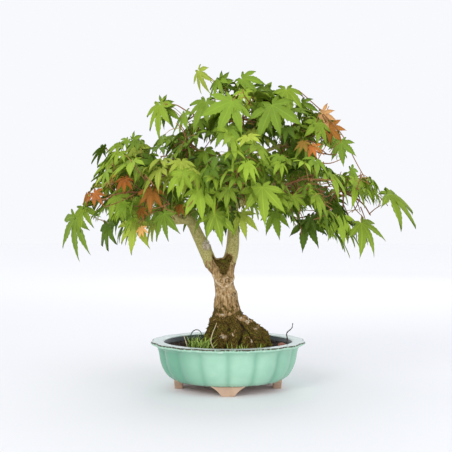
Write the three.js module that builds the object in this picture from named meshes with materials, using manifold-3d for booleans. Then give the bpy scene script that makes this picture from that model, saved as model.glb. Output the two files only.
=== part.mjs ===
// A Japanese maple bonsai in a fluted oval pot of celadon glaze.
// Millimetres, +Z up. The origin is on the ground under the middle of the pot,
// +X runs to the right along the pot's length and -Y points to its front.

import * as THREE from 'three';
import { mergeVertices } from 'three/addons/utils/BufferGeometryUtils.js';
import Module from 'manifold-3d';

const wasm = await Module();
wasm.setup();

// Clearance between pieces that touch on the real plant
const GAP = 0.3;

// Where pieces are joined, corners move to the nearest point of this fine grid, which
// closes up the thinnest slivers. The next size is tried where one leaves a surface open.
const FINE_GRIDS = [0.003, 0.004, 0.005, 0.007, 0.01, 0.013, 0.017, 0.02, 0.03, 0.04];
const THINNEST_FACE = 0.0009;

// The pot
const POT_LENGTH = 155;
const POT_DEPTH = 125;
const POT_HEIGHT = 47.5;
const POT_LOBES = 16;
const POT_STEPS_PER_LOBE = 3;
const POT_INSIDE_DEPTH = 34;
const FOOT_HEIGHT = 9;
const FOOT_TOP_WIDTH = 32;
const FOOT_SOLE_WIDTH = 12;
const FOOT_THICKNESS = 8;
const FOOT_SUNK = 2;
const DRAIN_RADIUS = 6;
const DRAIN_OFFSET = 26;

// The soil, whose surface lies below the rim
const SOIL_LEVEL = 41;

// Height of the trunk's flat foot, and of the fork where the two limbs begin
const TRUNK_FOOT = SOIL_LEVEL + GAP;
const FORK_LEVEL = 124;

// Leaves: length of the middle lobe, how far it varies, and the shares of it that are tried
// one after another, as smaller leaves fill the room between large ones. Then the blade's
// thickness and the fall of its tips as shares of its length, and the stalk that holds it
const LEAF_LENGTH = 38;
const LEAF_VARIETY = 0.12;
const LEAF_SIZES = [1, 0.9, 0.8, 0.7, 0.6];
const LEAF_THICKNESS = 0.036;
const LEAF_DROOP = 0.16;
const SHORTEST_STALK = 7;
const LONGEST_STALK = 38;
const STALK_RADIUS = 0.6;
const STALK_ROOT = 1;
const STRAIGHTEST_FOLD = 0.15;

// Colour, roughness and metalness of each kind of surface
const FINISHES = {
  glaze: new THREE.MeshStandardMaterial({ color: 0x93d0b4, roughness: 0.2, metalness: 0 }),
  soil: new THREE.MeshStandardMaterial({ color: 0x241c16, roughness: 0.95, metalness: 0 }),
  bark: new THREE.MeshStandardMaterial({ color: 0x8a7358, roughness: 0.85, metalness: 0 }),
  greenBark: new THREE.MeshStandardMaterial({ color: 0x7d8450, roughness: 0.7, metalness: 0 }),
  twigBark: new THREE.MeshStandardMaterial({ color: 0x8b5a3c, roughness: 0.75, metalness: 0 }),
  leaf: new THREE.MeshStandardMaterial({ color: 0x76a835, roughness: 0.55, metalness: 0 }),
  moss: new THREE.MeshStandardMaterial({ color: 0x5f8a2c, roughness: 0.95, metalness: 0 }),
  pebble: new THREE.MeshStandardMaterial({ color: 0x8a5648, roughness: 0.8, metalness: 0 }),
};

const UP = new THREE.Vector3(0, 0, 1);

const maple = new THREE.Group();

function addPiece(name, geometry, finish) {
  const piece = new THREE.Mesh(geometry, FINISHES[finish]);
  piece.name = name;
  maple.add(piece);
}

// Turns a closed geometry into a solid that can be joined and cut
function toSolid(geometry) {
  const bare = geometry.clone();
  bare.deleteAttribute('normal');
  bare.deleteAttribute('uv');
  const merged = mergeVertices(bare, 1e-4);
  const index = merged.index.array;
  const corners = [];
  for (let i = 0; i < index.length; i += 3) {
    const [a, b, c] = [index[i], index[i + 1], index[i + 2]];
    if (a !== b && b !== c && c !== a) {
      corners.push(a, b, c);
    }
  }
  return new wasm.Manifold(new wasm.Mesh({
    numProp: 3,
    vertProperties: new Float32Array(merged.attributes.position.array),
    triVerts: new Uint32Array(corners),
  }));
}

// The largest body of a solid, which drops loose scraps and fills closed hollows
function largestBody(solid) {
  return solid.decompose().reduce((best, body) => (body.volume() > best.volume() ? body : best));
}

function joinSolids(solids) {
  return largestBody(solids.reduce((whole, next) => whole.add(next)));
}

function geometryOf(solid, place = (value) => value) {
  const mesh = solid.getMesh();
  const geometry = new THREE.BufferGeometry();
  geometry.setAttribute('position', new THREE.BufferAttribute(mesh.vertProperties.map(place), 3));
  geometry.setIndex(new THREE.BufferAttribute(mesh.triVerts, 1));
  return geometry;
}

// True where every edge, told by the places of its ends, joins exactly two faces, and no
// two corners share a place
function isClosed(geometry) {
  const { array } = geometry.attributes.position;
  const places = new Map();
  const placeOf = (corner) => {
    const key = array.slice(3 * corner, 3 * corner + 3).map((v) => Math.round(v * 1e4)).join();
    places.set(key, places.get(key) ?? places.size);
    return places.get(key);
  };
  const faces = new Map();
  const index = geometry.index.array;
  for (let i = 0; i < index.length; i += 1) {
    const next = i % 3 === 2 ? i - 2 : i + 1;
    const ends = [placeOf(index[i]), placeOf(index[next])].sort((a, b) => a - b).join();
    faces.set(ends, (faces.get(ends) ?? 0) + 1);
  }
  const corners = geometry.attributes.position.count;
  return corners === places.size && [...faces.values()].every((count) => count === 2);
}

// Least height of any face over its longest edge
function thinnestFace(geometry) {
  const position = geometry.attributes.position;
  const index = geometry.index.array;
  let least = Infinity;
  for (let i = 0; i < index.length; i += 3) {
    const [a, b, c] = [0, 1, 2].map((corner) => (
      new THREE.Vector3().fromBufferAttribute(position, index[i + corner])
    ));
    const longest = Math.max(a.distanceTo(b), b.distanceTo(c), c.distanceTo(a));
    least = Math.min(least, (2 * new THREE.Triangle(a, b, c).getArea()) / longest);
  }
  return least;
}

// The solid with its corners on the first fine grid that keeps it one closed body
function toGeometry(solid) {
  for (const grid of FINE_GRIDS) {
    const snapped = geometryOf(solid, (value) => Math.round(value / grid) * grid);
    try {
      const geometry = geometryOf(largestBody(toSolid(snapped).simplify(grid / 2)));
      if (isClosed(geometry) && thinnestFace(geometry) > THINNEST_FACE) {
        return geometry;
      }
    } catch (openSurface) {
      continue;
    }
  }
  return null;
}

// The same numbers in the same order each time, from 0 up to 1
function seededNumbers(seed) {
  let state = seed;
  return () => {
    state = (state + 0x6d2b79f5) | 0;
    let mixed = Math.imul(state ^ (state >>> 15), 1 | state);
    mixed = (mixed + Math.imul(mixed ^ (mixed >>> 7), 61 | mixed)) ^ mixed;
    return ((mixed ^ (mixed >>> 14)) >>> 0) / 4294967296;
  };
}

// Pot

// Rows from the middle of the underside, up the wall, over the lip and down inside:
// half length of the oval, height, and depth of the grooves between the lobes
function potProfile() {
  const half = POT_LENGTH / 2;
  const floor = POT_HEIGHT - POT_INSIDE_DEPTH;
  return [
    [0, FOOT_HEIGHT, 0],
    [half - 23.5, FOOT_HEIGHT, 1],
    [half - 17, FOOT_HEIGHT + 4, 2.2],
    [half - 12.6, FOOT_HEIGHT + 11, 2.8],
    [half - 9.6, FOOT_HEIGHT + 19, 2.8],
    [half - 8.2, FOOT_HEIGHT + 27, 2.6],
    [half - 6.8, POT_HEIGHT - 7, 2.2],
    [half - 3.8, POT_HEIGHT - 4.2, 2],
    [half - 0.4, POT_HEIGHT - 2.4, 2.2],
    [half, POT_HEIGHT - 1.2, 2.2],
    [half - 0.8, POT_HEIGHT, 2.2],
    [half - 12.7, POT_HEIGHT, 0],
    [half - 15, SOIL_LEVEL, 0],
    [half - 17.6, floor + 9, 0],
    [half - 23, floor + 1.5, 0],
    [half - 28, floor, 0],
    [0, floor, 0],
  ];
}

function potShell() {
  const rows = potProfile();
  const profile = rows.map(([radius, height]) => new THREE.Vector2(radius, height));
  const shell = new THREE.LatheGeometry(profile, POT_LOBES * POT_STEPS_PER_LOBE);
  const position = shell.attributes.position;
  for (let i = 0; i < position.count; i += 1) {
    const across = position.getX(i);
    const deep = position.getZ(i);
    const radius = Math.hypot(across, deep);
    const bulge = Math.abs(Math.sin((POT_LOBES / 2) * Math.atan2(deep, across))) ** 0.8;
    const groove = rows[i % rows.length][2];
    const scale = radius > 0 ? 1 - (groove * (1 - bulge)) / radius : 1;
    position.setX(i, across * scale);
    position.setZ(i, (deep * scale * POT_DEPTH) / POT_LENGTH);
  }
  return toSolid(shell.rotateX(Math.PI / 2));
}

// A foot flares from its flat sole up into the underside, like a cloud foot
function potFoot(bearing, distance) {
  const outline = new THREE.Shape();
  outline.moveTo(-FOOT_SOLE_WIDTH / 2, 0);
  outline.lineTo(FOOT_SOLE_WIDTH / 2, 0);
  outline.quadraticCurveTo(FOOT_TOP_WIDTH * 0.32, FOOT_HEIGHT * 0.7, FOOT_TOP_WIDTH / 2, FOOT_HEIGHT);
  outline.lineTo(FOOT_TOP_WIDTH / 2, FOOT_HEIGHT + FOOT_SUNK);
  outline.lineTo(-FOOT_TOP_WIDTH / 2, FOOT_HEIGHT + FOOT_SUNK);
  outline.lineTo(-FOOT_TOP_WIDTH / 2, FOOT_HEIGHT);
  outline.quadraticCurveTo(-FOOT_TOP_WIDTH * 0.32, FOOT_HEIGHT * 0.7, -FOOT_SOLE_WIDTH / 2, 0);
  const foot = new THREE.ExtrudeGeometry(outline, {
    depth: FOOT_THICKNESS,
    bevelEnabled: false,
    curveSegments: 3,
  });
  foot.translate(0, 0, distance - FOOT_THICKNESS);
  foot.rotateX(Math.PI / 2);
  foot.rotateZ(bearing);
  return toSolid(foot);
}

function buildPot() {
  const underside = POT_LENGTH / 2 - 23.5;
  const footAlong = underside - 1;
  const footAcross = (underside * POT_DEPTH) / POT_LENGTH - 1;
  const feet = [0, 1, 2, 3].map((quarter) => {
    const distance = quarter % 2 === 0 ? footAcross : footAlong;
    return potFoot((quarter * Math.PI) / 2, distance);
  });
  const drains = [-DRAIN_OFFSET, DRAIN_OFFSET].map((x) => {
    const drain = new THREE.CylinderGeometry(DRAIN_RADIUS, DRAIN_RADIUS, POT_HEIGHT, 16);
    return toSolid(drain.rotateX(Math.PI / 2).translate(x, 0, 0));
  });
  const body = joinSolids([potShell(), ...feet]);
  return drains.reduce((pot, drain) => pot.subtract(drain), body);
}

addPiece('pot', toGeometry(buildPot()), 'glaze');

// Soil

function buildSoil() {
  const half = POT_LENGTH / 2 - GAP;
  const floor = POT_HEIGHT - POT_INSIDE_DEPTH + GAP;
  const profile = [
    [0, floor],
    [half - 28.5, floor],
    [half - 23.4, floor + 1.5],
    [half - 17.9, floor + 9],
    [half - 15.2, SOIL_LEVEL],
    [0, SOIL_LEVEL],
  ].map(([radius, height]) => new THREE.Vector2(radius, height));
  const soil = new THREE.LatheGeometry(profile, 32);
  soil.scale(1, 1, POT_DEPTH / POT_LENGTH);
  return soil.rotateX(Math.PI / 2);
}

addPiece('soil', buildSoil(), 'soil');

// Trunk

// Its outline from the soil to the fork: lean (x of the middle), half width, half depth, height
const TRUNK_STATIONS = [
  [10, 35, 28, TRUNK_FOOT],
  [10, 34, 27, 50],
  [8, 30, 22, 58],
  [3.5, 23, 17, 66],
  [0, 16, 13.5, 74],
  [-1.6, 13, 12, 84],
  [-2, 11.3, 11, 95],
  [-4, 10, 10, 104],
  [-5, 11, 10, 112],
  [-7, 14, 10, 118.5],
  [-8, 16.8, 9.5, FORK_LEVEL],
];
const TRUNK_SIDES = 16;
const ROOT_COUNT = 5;
const ROOT_RELIEF = 0.13;
const ROOT_TOP = 78;

// The trunk, swollen by extra all round and at its top
function buildTrunk(extra = 0) {
  const steps = TRUNK_STATIONS.length - 1;
  const trunk = new THREE.CylinderGeometry(1, 1, 1, TRUNK_SIDES, steps);
  const position = trunk.attributes.position;
  for (let i = 0; i < position.count; i += 1) {
    const station = Math.round((position.getY(i) + 0.5) * steps);
    const [lean, halfWidth, halfDepth, height] = TRUNK_STATIONS[station];
    const across = position.getX(i);
    const deep = position.getZ(i);
    const flare = Math.max(0, (ROOT_TOP - height) / (ROOT_TOP - TRUNK_FOOT));
    const root = 1 + ROOT_RELIEF * flare * Math.cos(ROOT_COUNT * Math.atan2(deep, across));
    position.setXYZ(
      i,
      lean + across * (halfWidth * root + extra),
      height + (station === steps ? extra : 0),
      deep * (halfDepth * root + extra),
    );
  }
  return trunk.rotateX(Math.PI / 2);
}

addPiece('trunk', buildTrunk(), 'bark');

// Limbs and boughs

// Each runs from a point inside the limb that carries it, by way of a bend, to its tip
const LIMBS = [
  {
    name: 'limb_left',
    carrier: 'trunk',
    route: [[-16, 0, 122], [-22.5, 0, 136], [-29, 0, 150], [-35, 0, 163]],
    radii: [7.7, 6],
    finish: 'greenBark',
  },
  {
    name: 'limb_left_outer',
    carrier: 'limb_left',
    route: [[-34, 0, 161], [-41, 2, 168], [-58, 6, 168], [-84, 12, 180]],
    radii: [5.6, 2.8],
    finish: 'greenBark',
  },
  {
    name: 'leader',
    carrier: 'trunk',
    route: [[-0.4, 0, 122], [4, 0, 136], [5.5, 0, 158], [5, 0, 187]],
    radii: [8.5, 5.2],
    finish: 'greenBark',
  },
  {
    name: 'leader_top',
    carrier: 'leader',
    route: [[5, 0, 185], [4.5, 1, 210], [2.5, 2, 238], [10, 3, 262]],
    radii: [4.7, 1.8],
    finish: 'greenBark',
  },
  {
    name: 'bough_left_front',
    carrier: 'limb_left_outer',
    route: [[-49, 4, 168], [-56, -16, 174], [-72, -38, 186]],
    radii: [2.9, 1.8],
    finish: 'twigBark',
  },
  {
    name: 'bough_left_back',
    carrier: 'limb_left_outer',
    route: [[-60, 6, 169], [-66, 24, 178], [-72, 44, 194]],
    radii: [2.7, 1.8],
    finish: 'twigBark',
  },
  {
    name: 'bough_front',
    carrier: 'leader',
    route: [[5.5, 0, 172], [5, -24, 182], [0, -48, 196]],
    radii: [3, 1.8],
    finish: 'twigBark',
  },
  {
    name: 'bough_right',
    carrier: 'leader',
    route: [[5.2, 0, 180], [44, -8, 199], [100, -16, 208]],
    radii: [3.6, 1.9],
    finish: 'twigBark',
  },
  {
    name: 'bough_right_front',
    carrier: 'bough_right',
    route: [[30, -5, 192.5], [42, -26, 194], [60, -44, 192]],
    radii: [2.4, 1.6],
    finish: 'twigBark',
  },
  {
    name: 'bough_right_back',
    carrier: 'leader_top',
    route: [[5, 0, 196], [26, 20, 202], [54, 42, 206]],
    radii: [2.8, 1.7],
    finish: 'twigBark',
  },
  {
    name: 'bough_back',
    carrier: 'leader_top',
    route: [[4.8, 1, 204], [4, 26, 210], [0, 54, 222]],
    radii: [2.8, 1.7],
    finish: 'twigBark',
  },
  {
    name: 'bough_upper_left',
    carrier: 'leader_top',
    route: [[4.5, 1, 212], [-12, -2, 222], [-34, -6, 240]],
    radii: [2.6, 1.6],
    finish: 'twigBark',
  },
  {
    name: 'bough_upper_right',
    carrier: 'leader_top',
    route: [[4, 1.5, 220], [28, -2, 232], [64, -8, 246]],
    radii: [2.6, 1.6],
    finish: 'twigBark',
  },
];
const LIMB_SIDES = 8;
const LIMB_STEPS = 6;

function limbCurve(limb) {
  return new THREE.CatmullRomCurve3(limb.route.map((point) => new THREE.Vector3(...point)));
}

// A round limb that tapers evenly along its curve, swollen by extra all round
function limbSolid(limb, extra = 0) {
  const curve = limbCurve(limb);
  const frames = curve.computeFrenetFrames(LIMB_STEPS);
  const tube = new THREE.CylinderGeometry(1, 1, 1, LIMB_SIDES, LIMB_STEPS);
  const position = tube.attributes.position;
  for (let i = 0; i < position.count; i += 1) {
    const along = position.getY(i) + 0.5;
    const step = Math.round(along * LIMB_STEPS);
    const radius = THREE.MathUtils.lerp(limb.radii[0], limb.radii[1], along) + extra;
    const past = along === 1 ? extra : 0;
    const point = curve.getPointAt(along)
      .addScaledVector(frames.binormals[step], position.getX(i) * radius)
      .addScaledVector(frames.normals[step], position.getZ(i) * radius)
      .addScaledVector(frames.tangents[step], past);
    position.setXYZ(i, point.x, point.y, point.z);
  }
  return toSolid(tube);
}

// A bough is cut to the limb that carries it, with a hair's gap all round the joint
function buildLimb(limb) {
  const carrier = LIMBS.find((other) => other.name === limb.carrier);
  const cutter = carrier ? limbSolid(carrier, GAP) : toSolid(buildTrunk(GAP));
  return joinSolids([limbSolid(limb).subtract(cutter)]);
}

LIMBS.forEach((limb) => addPiece(limb.name, toGeometry(buildLimb(limb)), limb.finish));

// Small things on the soil: a tuft of moss at the trunk's left foot, a pebble to its right
// and a dry stalk behind that

const TUFT_FOOT = [-29, -25];
const TUFT_RADIUS = 11;
const TUFT_HEIGHT = 17;
const TUFT_SIDES = 8;
const PEBBLE_PLACE = [53, -12];
const PEBBLE_HALF = [4.2, 3.4, 2.6];
const DRY_STALK = {
  route: [[58, 2, TRUNK_FOOT], [59.5, 2, 48], [59, 2, 54], [64, 2, 59], [65, 2, 64]],
  radii: [0.8, 0.5],
};

function buildTuft() {
  const profile = [[0, 0], [0.92, 0], [1, 0.25], [0.85, 0.6], [0.5, 0.9], [0, 1]]
    .map(([radius, height]) => new THREE.Vector2(radius * TUFT_RADIUS, height * TUFT_HEIGHT));
  const tuft = new THREE.LatheGeometry(profile, TUFT_SIDES);
  tuft.rotateX(Math.PI / 2).translate(...TUFT_FOOT, TRUNK_FOOT);
  return largestBody(toSolid(tuft).subtract(toSolid(buildTrunk(GAP))));
}

function buildPebble() {
  const pebble = new THREE.IcosahedronGeometry(1, 1);
  pebble.scale(...PEBBLE_HALF);
  return toSolid(pebble.translate(...PEBBLE_PLACE, TRUNK_FOOT + PEBBLE_HALF[2]));
}

addPiece('moss_tuft', toGeometry(buildTuft()), 'moss');
addPiece('pebble', toGeometry(buildPebble()), 'pebble');
addPiece('dry_stalk', toGeometry(limbSolid(DRY_STALK)), 'twigBark');

// Straight stretches of every limb, with their radius, that leaves have to keep clear of
const BARRIERS = LIMBS.flatMap((limb) => {
  const points = limbCurve(limb).getSpacedPoints(LIMB_STEPS);
  return points.slice(1).map((end, i) => ({
    start: points[i],
    end,
    radius: THREE.MathUtils.lerp(limb.radii[0], limb.radii[1], i / LIMB_STEPS),
  }));
});

// Foliage

// Each mass of foliage fills an ellipsoid: its middle, its half sizes, the limb whose tip
// carries it, and its number of leaves. far lists single leaves that reach past it, each
// by the place where stalk and blade meet and by the tip of its middle lobe.
const MASSES = [
  {
    name: 'foliage_apex',
    middle: [18, 0, 272],
    half: [60, 62, 42],
    bough: 'leader_top',
    leaves: 25,
    far: [
      [[-28, -6, 316], [-25, -18, 292]],
      [[12, -12, 311], [17, -30, 288]],
      [[56, -10, 297], [64, -28, 270]],
    ],
  },
  {
    name: 'foliage_upper_left',
    middle: [-42, -4, 238],
    half: [42, 60, 46],
    bough: 'bough_upper_left',
    leaves: 16,
    far: [
      [[-67, -8, 283], [-77, -16, 252]],
    ],
  },
  {
    name: 'foliage_upper_right',
    middle: [80, -4, 246],
    half: [50, 62, 44],
    bough: 'bough_upper_right',
    leaves: 19,
    far: [
      [[118, -14, 246], [134, -22, 213]],
    ],
  },
  {
    name: 'foliage_left_outer',
    middle: [-114, 6, 194],
    half: [42, 58, 54],
    bough: 'limb_left_outer',
    leaves: 19,
    far: [
      [[-155, 36, 165], [-168, 38, 125]],
      [[-158, 34, 182], [-174.5, 40, 148]],
      [[-126, 0, 236], [-139, -4, 217]],
      [[-91, -8, 248], [-106, -24, 232]],
      [[-116, 8, 165], [-108, 10, 133]],
    ],
  },
  {
    name: 'foliage_left_front',
    middle: [-76, -56, 198],
    half: [54, 54, 48],
    bough: 'bough_left_front',
    leaves: 16,
    far: [
      [[-66, -62, 174], [-80, -76, 141]],
    ],
  },
  {
    name: 'foliage_left_back',
    middle: [-74, 62, 196],
    half: [56, 54, 48],
    bough: 'bough_left_back',
    leaves: 14,
    far: [],
  },
  {
    name: 'foliage_front',
    middle: [4, -76, 200],
    half: [50, 50, 52],
    bough: 'bough_front',
    leaves: 18,
    far: [
      [[-14, -74, 172], [-26, -86, 149]],
    ],
  },
  {
    name: 'foliage_back',
    middle: [2, 75, 206],
    half: [56, 48, 54],
    bough: 'bough_back',
    leaves: 15,
    far: [],
  },
  {
    name: 'foliage_right_outer',
    middle: [120, -8, 188],
    half: [42, 58, 46],
    bough: 'bough_right',
    leaves: 17,
    far: [
      [[153, -50, 189], [177, -52, 165]],
      [[128, -30, 166], [150, -34, 134]],
      [[134, -24, 210], [144, -32, 178]],
    ],
  },
  {
    name: 'foliage_right_front',
    middle: [70, -60, 194],
    half: [56, 54, 50],
    bough: 'bough_right_front',
    leaves: 17,
    far: [
      [[75, -56, 166], [92, -66, 140]],
    ],
  },
  {
    name: 'foliage_right_back',
    middle: [76, 62, 198],
    half: [58, 54, 50],
    bough: 'bough_right_back',
    leaves: 14,
    far: [],
  },
];
const GOLDEN_ANGLE = Math.PI * (3 - Math.sqrt(5));
const GOLDEN_SHARE = (Math.sqrt(5) - 1) / 2;
const TWIGS_PER_MASS = 7;
const TWIG_RADIUS = 1.1;
const TWIG_REACH = 0.6;
const TWIG_SHORTENING = 0.35;
const TRIES_PER_LEAF = 200;
const OUTERMOST = 1.08;
const CELL_GAP = 0.8;
const LIMB_MARGIN = 1.2;
const MOST_SEEDS = 12;

MASSES.forEach((mass, i) => {
  mass.seed = 11 + 7 * i;
  mass.centre = new THREE.Vector3(...mass.middle);
  mass.radii = new THREE.Vector3(...mass.half);
  mass.size = (mass.half[0] + mass.half[1] + mass.half[2]) / 3;
});

// Where the two spaces of neighbouring masses overlap, a flat face parts them
function keepsOwnSide(mass, point) {
  const own = point.distanceToSquared(mass.centre) - mass.size ** 2;
  return MASSES.every((other) => {
    if (other === mass) {
      return true;
    }
    const theirs = point.distanceToSquared(other.centre) - other.size ** 2;
    return (theirs - own) / (2 * mass.centre.distanceTo(other.centre)) > CELL_GAP;
  });
}

// How far out a point lies: 0 in the middle of a mass and 1 on the edge of its space
function reachOf(mass, point) {
  return point.clone().sub(mass.centre).divide(mass.radii).length();
}

// Least distance between two straight stretches
function stretchDistance(a, b, c, d) {
  const ab = b.clone().sub(a);
  const cd = d.clone().sub(c);
  const ca = a.clone().sub(c);
  const [e, f, g] = [ab.dot(ab), cd.dot(cd), ab.dot(cd)];
  const [h, k] = [ab.dot(ca), cd.dot(ca)];
  const across = e * f - g * g;
  let s = across > 1e-9 ? THREE.MathUtils.clamp((g * k - h * f) / across, 0, 1) : 0;
  const t = THREE.MathUtils.clamp((g * s + k) / f, 0, 1);
  s = THREE.MathUtils.clamp((g * t - h) / e, 0, 1);
  return ab.multiplyScalar(s).add(a).distanceTo(cd.multiplyScalar(t).add(c));
}

function clearOfLimbs(start, end, radius) {
  return BARRIERS.every((limb) => (
    stretchDistance(start, end, limb.start, limb.end) > limb.radius + radius + LIMB_MARGIN
  ));
}

// A twig is three-sided, sunk into what carries it and thinner at its tip
function twigSolid(start, end, startRadius, endRadius) {
  const corners = [0, 1, 2].map((i) => {
    const turn = (i * 2 * Math.PI) / 3;
    return new THREE.Vector2(Math.cos(turn), Math.sin(turn));
  });
  const twig = new THREE.ExtrudeGeometry(new THREE.Shape(corners), {
    depth: 1,
    bevelEnabled: false,
  });
  const along = end.clone().sub(start);
  const turn = new THREE.Quaternion().setFromUnitVectors(UP, along.clone().normalize());
  const position = twig.attributes.position;
  for (let i = 0; i < position.count; i += 1) {
    const share = position.getZ(i);
    const radius = THREE.MathUtils.lerp(startRadius, endRadius, share);
    const point = new THREE.Vector3(position.getX(i) * radius, position.getY(i) * radius, 0)
      .applyQuaternion(turn)
      .add(start)
      .addScaledVector(along, share);
    position.setXYZ(i, point.x, point.y, point.z);
  }
  return toSolid(twig);
}

// The blade's outline on one side: angle from the middle lobe and distance from the stalk,
// as a share of the leaf's length, from beside the stalk round to the middle lobe
const LEAF_OUTLINE = [
  [150, 0.1],
  [98, 0.64],
  [69, 0.36],
  [45, 0.9],
  [22, 0.42],
];

// The rim of one leaf in its own axes: the stalk's end, one side, the tip, the other side
function leafRim(length, stalkRoot) {
  const side = LEAF_OUTLINE.map(([angle, reach]) => [THREE.MathUtils.degToRad(angle), reach]);
  const otherSide = side.map(([angle, reach]) => [-angle, reach]).reverse();
  const blade = [...side, [0, 1], ...otherSide].map(([angle, reach]) => (
    new THREE.Vector3(Math.sin(angle) * reach, Math.cos(angle) * reach, -LEAF_DROOP * reach ** 2)
      .multiplyScalar(length)
  ));
  return [stalkRoot, ...blade];
}

// Places a leaf: where its stalk leaves the shoot, where stalk and blade meet, the way its
// middle lobe points, and its length
function placeLeaf(shootTip, hub, pointing, length) {
  const outward = new THREE.Vector3(pointing.x, pointing.y, 0).multiplyScalar(0.2);
  const facing = UP.clone().add(outward);
  facing.addScaledVector(pointing, -facing.dot(pointing)).normalize();
  const side = pointing.clone().cross(facing);
  const frame = new THREE.Matrix4().makeBasis(side, pointing, facing).setPosition(hub);
  const root = shootTip.clone().sub(hub);
  root.setLength(root.length() + STALK_ROOT).add(hub);
  const rim = leafRim(length, root.applyMatrix4(frame.clone().invert()));
  rim.forEach((point) => point.applyMatrix4(frame));
  return { shootTip, hub, pointing, facing, length, rim };
}

// A thin lens drawn out into the leaf's outline, its stalk a spike of the same solid
function leafSolid(leaf) {
  const count = leaf.rim.length;
  const blade = new THREE.SphereGeometry(1, count, 2);
  const position = blade.attributes.position;
  const half = (leaf.length * LEAF_THICKNESS) / 2;
  for (let i = 0; i < position.count; i += 1) {
    const pole = position.getY(i);
    const point = Math.abs(pole) > 0.5
      ? leaf.hub.clone().addScaledVector(leaf.facing, pole * half)
      : leaf.rim[i % (count + 1) % count];
    position.setXYZ(i, point.x, point.y, point.z);
  }
  return toSolid(blade);
}

// Keeps stalks of a fair length that run on into the blade without folding back under it
function stalkFits(leaf) {
  const stalk = leaf.hub.clone().sub(leaf.shootTip);
  const length = stalk.length();
  return length > SHORTEST_STALK && length < LONGEST_STALK
    && stalk.dot(leaf.pointing) > STRAIGHTEST_FOLD * length;
}

function leafFits(mass, leaf) {
  const blade = leaf.rim.slice(1);
  const inSpace = [leaf.hub, ...blade].every((corner) => (
    keepsOwnSide(mass, corner) && reachOf(mass, corner) < OUTERMOST
  ));
  return inSpace && clearOfLimbs(leaf.shootTip, leaf.hub, STALK_RADIUS)
    && blade.every((corner, i) => (
      clearOfLimbs(leaf.hub, corner, 0)
      && clearOfLimbs(corner, blade[(i + 1) % blade.length], 0)
    ));
}

// Evenly spread directions over a sphere
function spreadDirection(index, count) {
  const height = 1 - (2 * (index + 0.5)) / count;
  const ring = Math.sqrt(1 - height * height);
  const turn = index * GOLDEN_ANGLE;
  return new THREE.Vector3(Math.cos(turn) * ring, Math.sin(turn) * ring, height);
}

// The point on the nearest twig, a little back from where it lies closest, for a stalk
function stalkPoint(twigs, hub) {
  const options = twigs.map(([start, end]) => {
    const stretch = new THREE.Line3(start, end);
    const share = stretch.closestPointToPointParameter(hub, true);
    return stretch.at(Math.max(0.15, share - 0.12), new THREE.Vector3());
  });
  return options.reduce((best, point) => (
    point.distanceTo(hub) < best.distanceTo(hub) ? point : best
  ));
}

// A leaf that hangs outward from its mass and down, at a hub inside the mass's space
function hangingLeaf(mass, hub, size, twigs, random) {
  const shootTip = stalkPoint(twigs, hub);
  const trunkward = new THREE.Vector3(mass.centre.x * 0.6, mass.centre.y * 0.6, 0);
  const low = THREE.MathUtils.clamp((mass.centre.z - hub.z) / mass.radii.z, -1, 1);
  const turn = Math.atan2(hub.y - trunkward.y, hub.x - trunkward.x) + (random() - 0.5) * 1.5;
  const droop = 0.7 + 0.35 * low + (random() - 0.5) * 0.7;
  const length = size * LEAF_LENGTH * (1 + LEAF_VARIETY * (2 * random() - 1));
  const pointing = new THREE.Vector3(
    Math.cos(turn) * Math.cos(droop),
    Math.sin(turn) * Math.cos(droop),
    -Math.sin(droop),
  );
  return placeLeaf(shootTip, hub, pointing, length);
}

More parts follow.
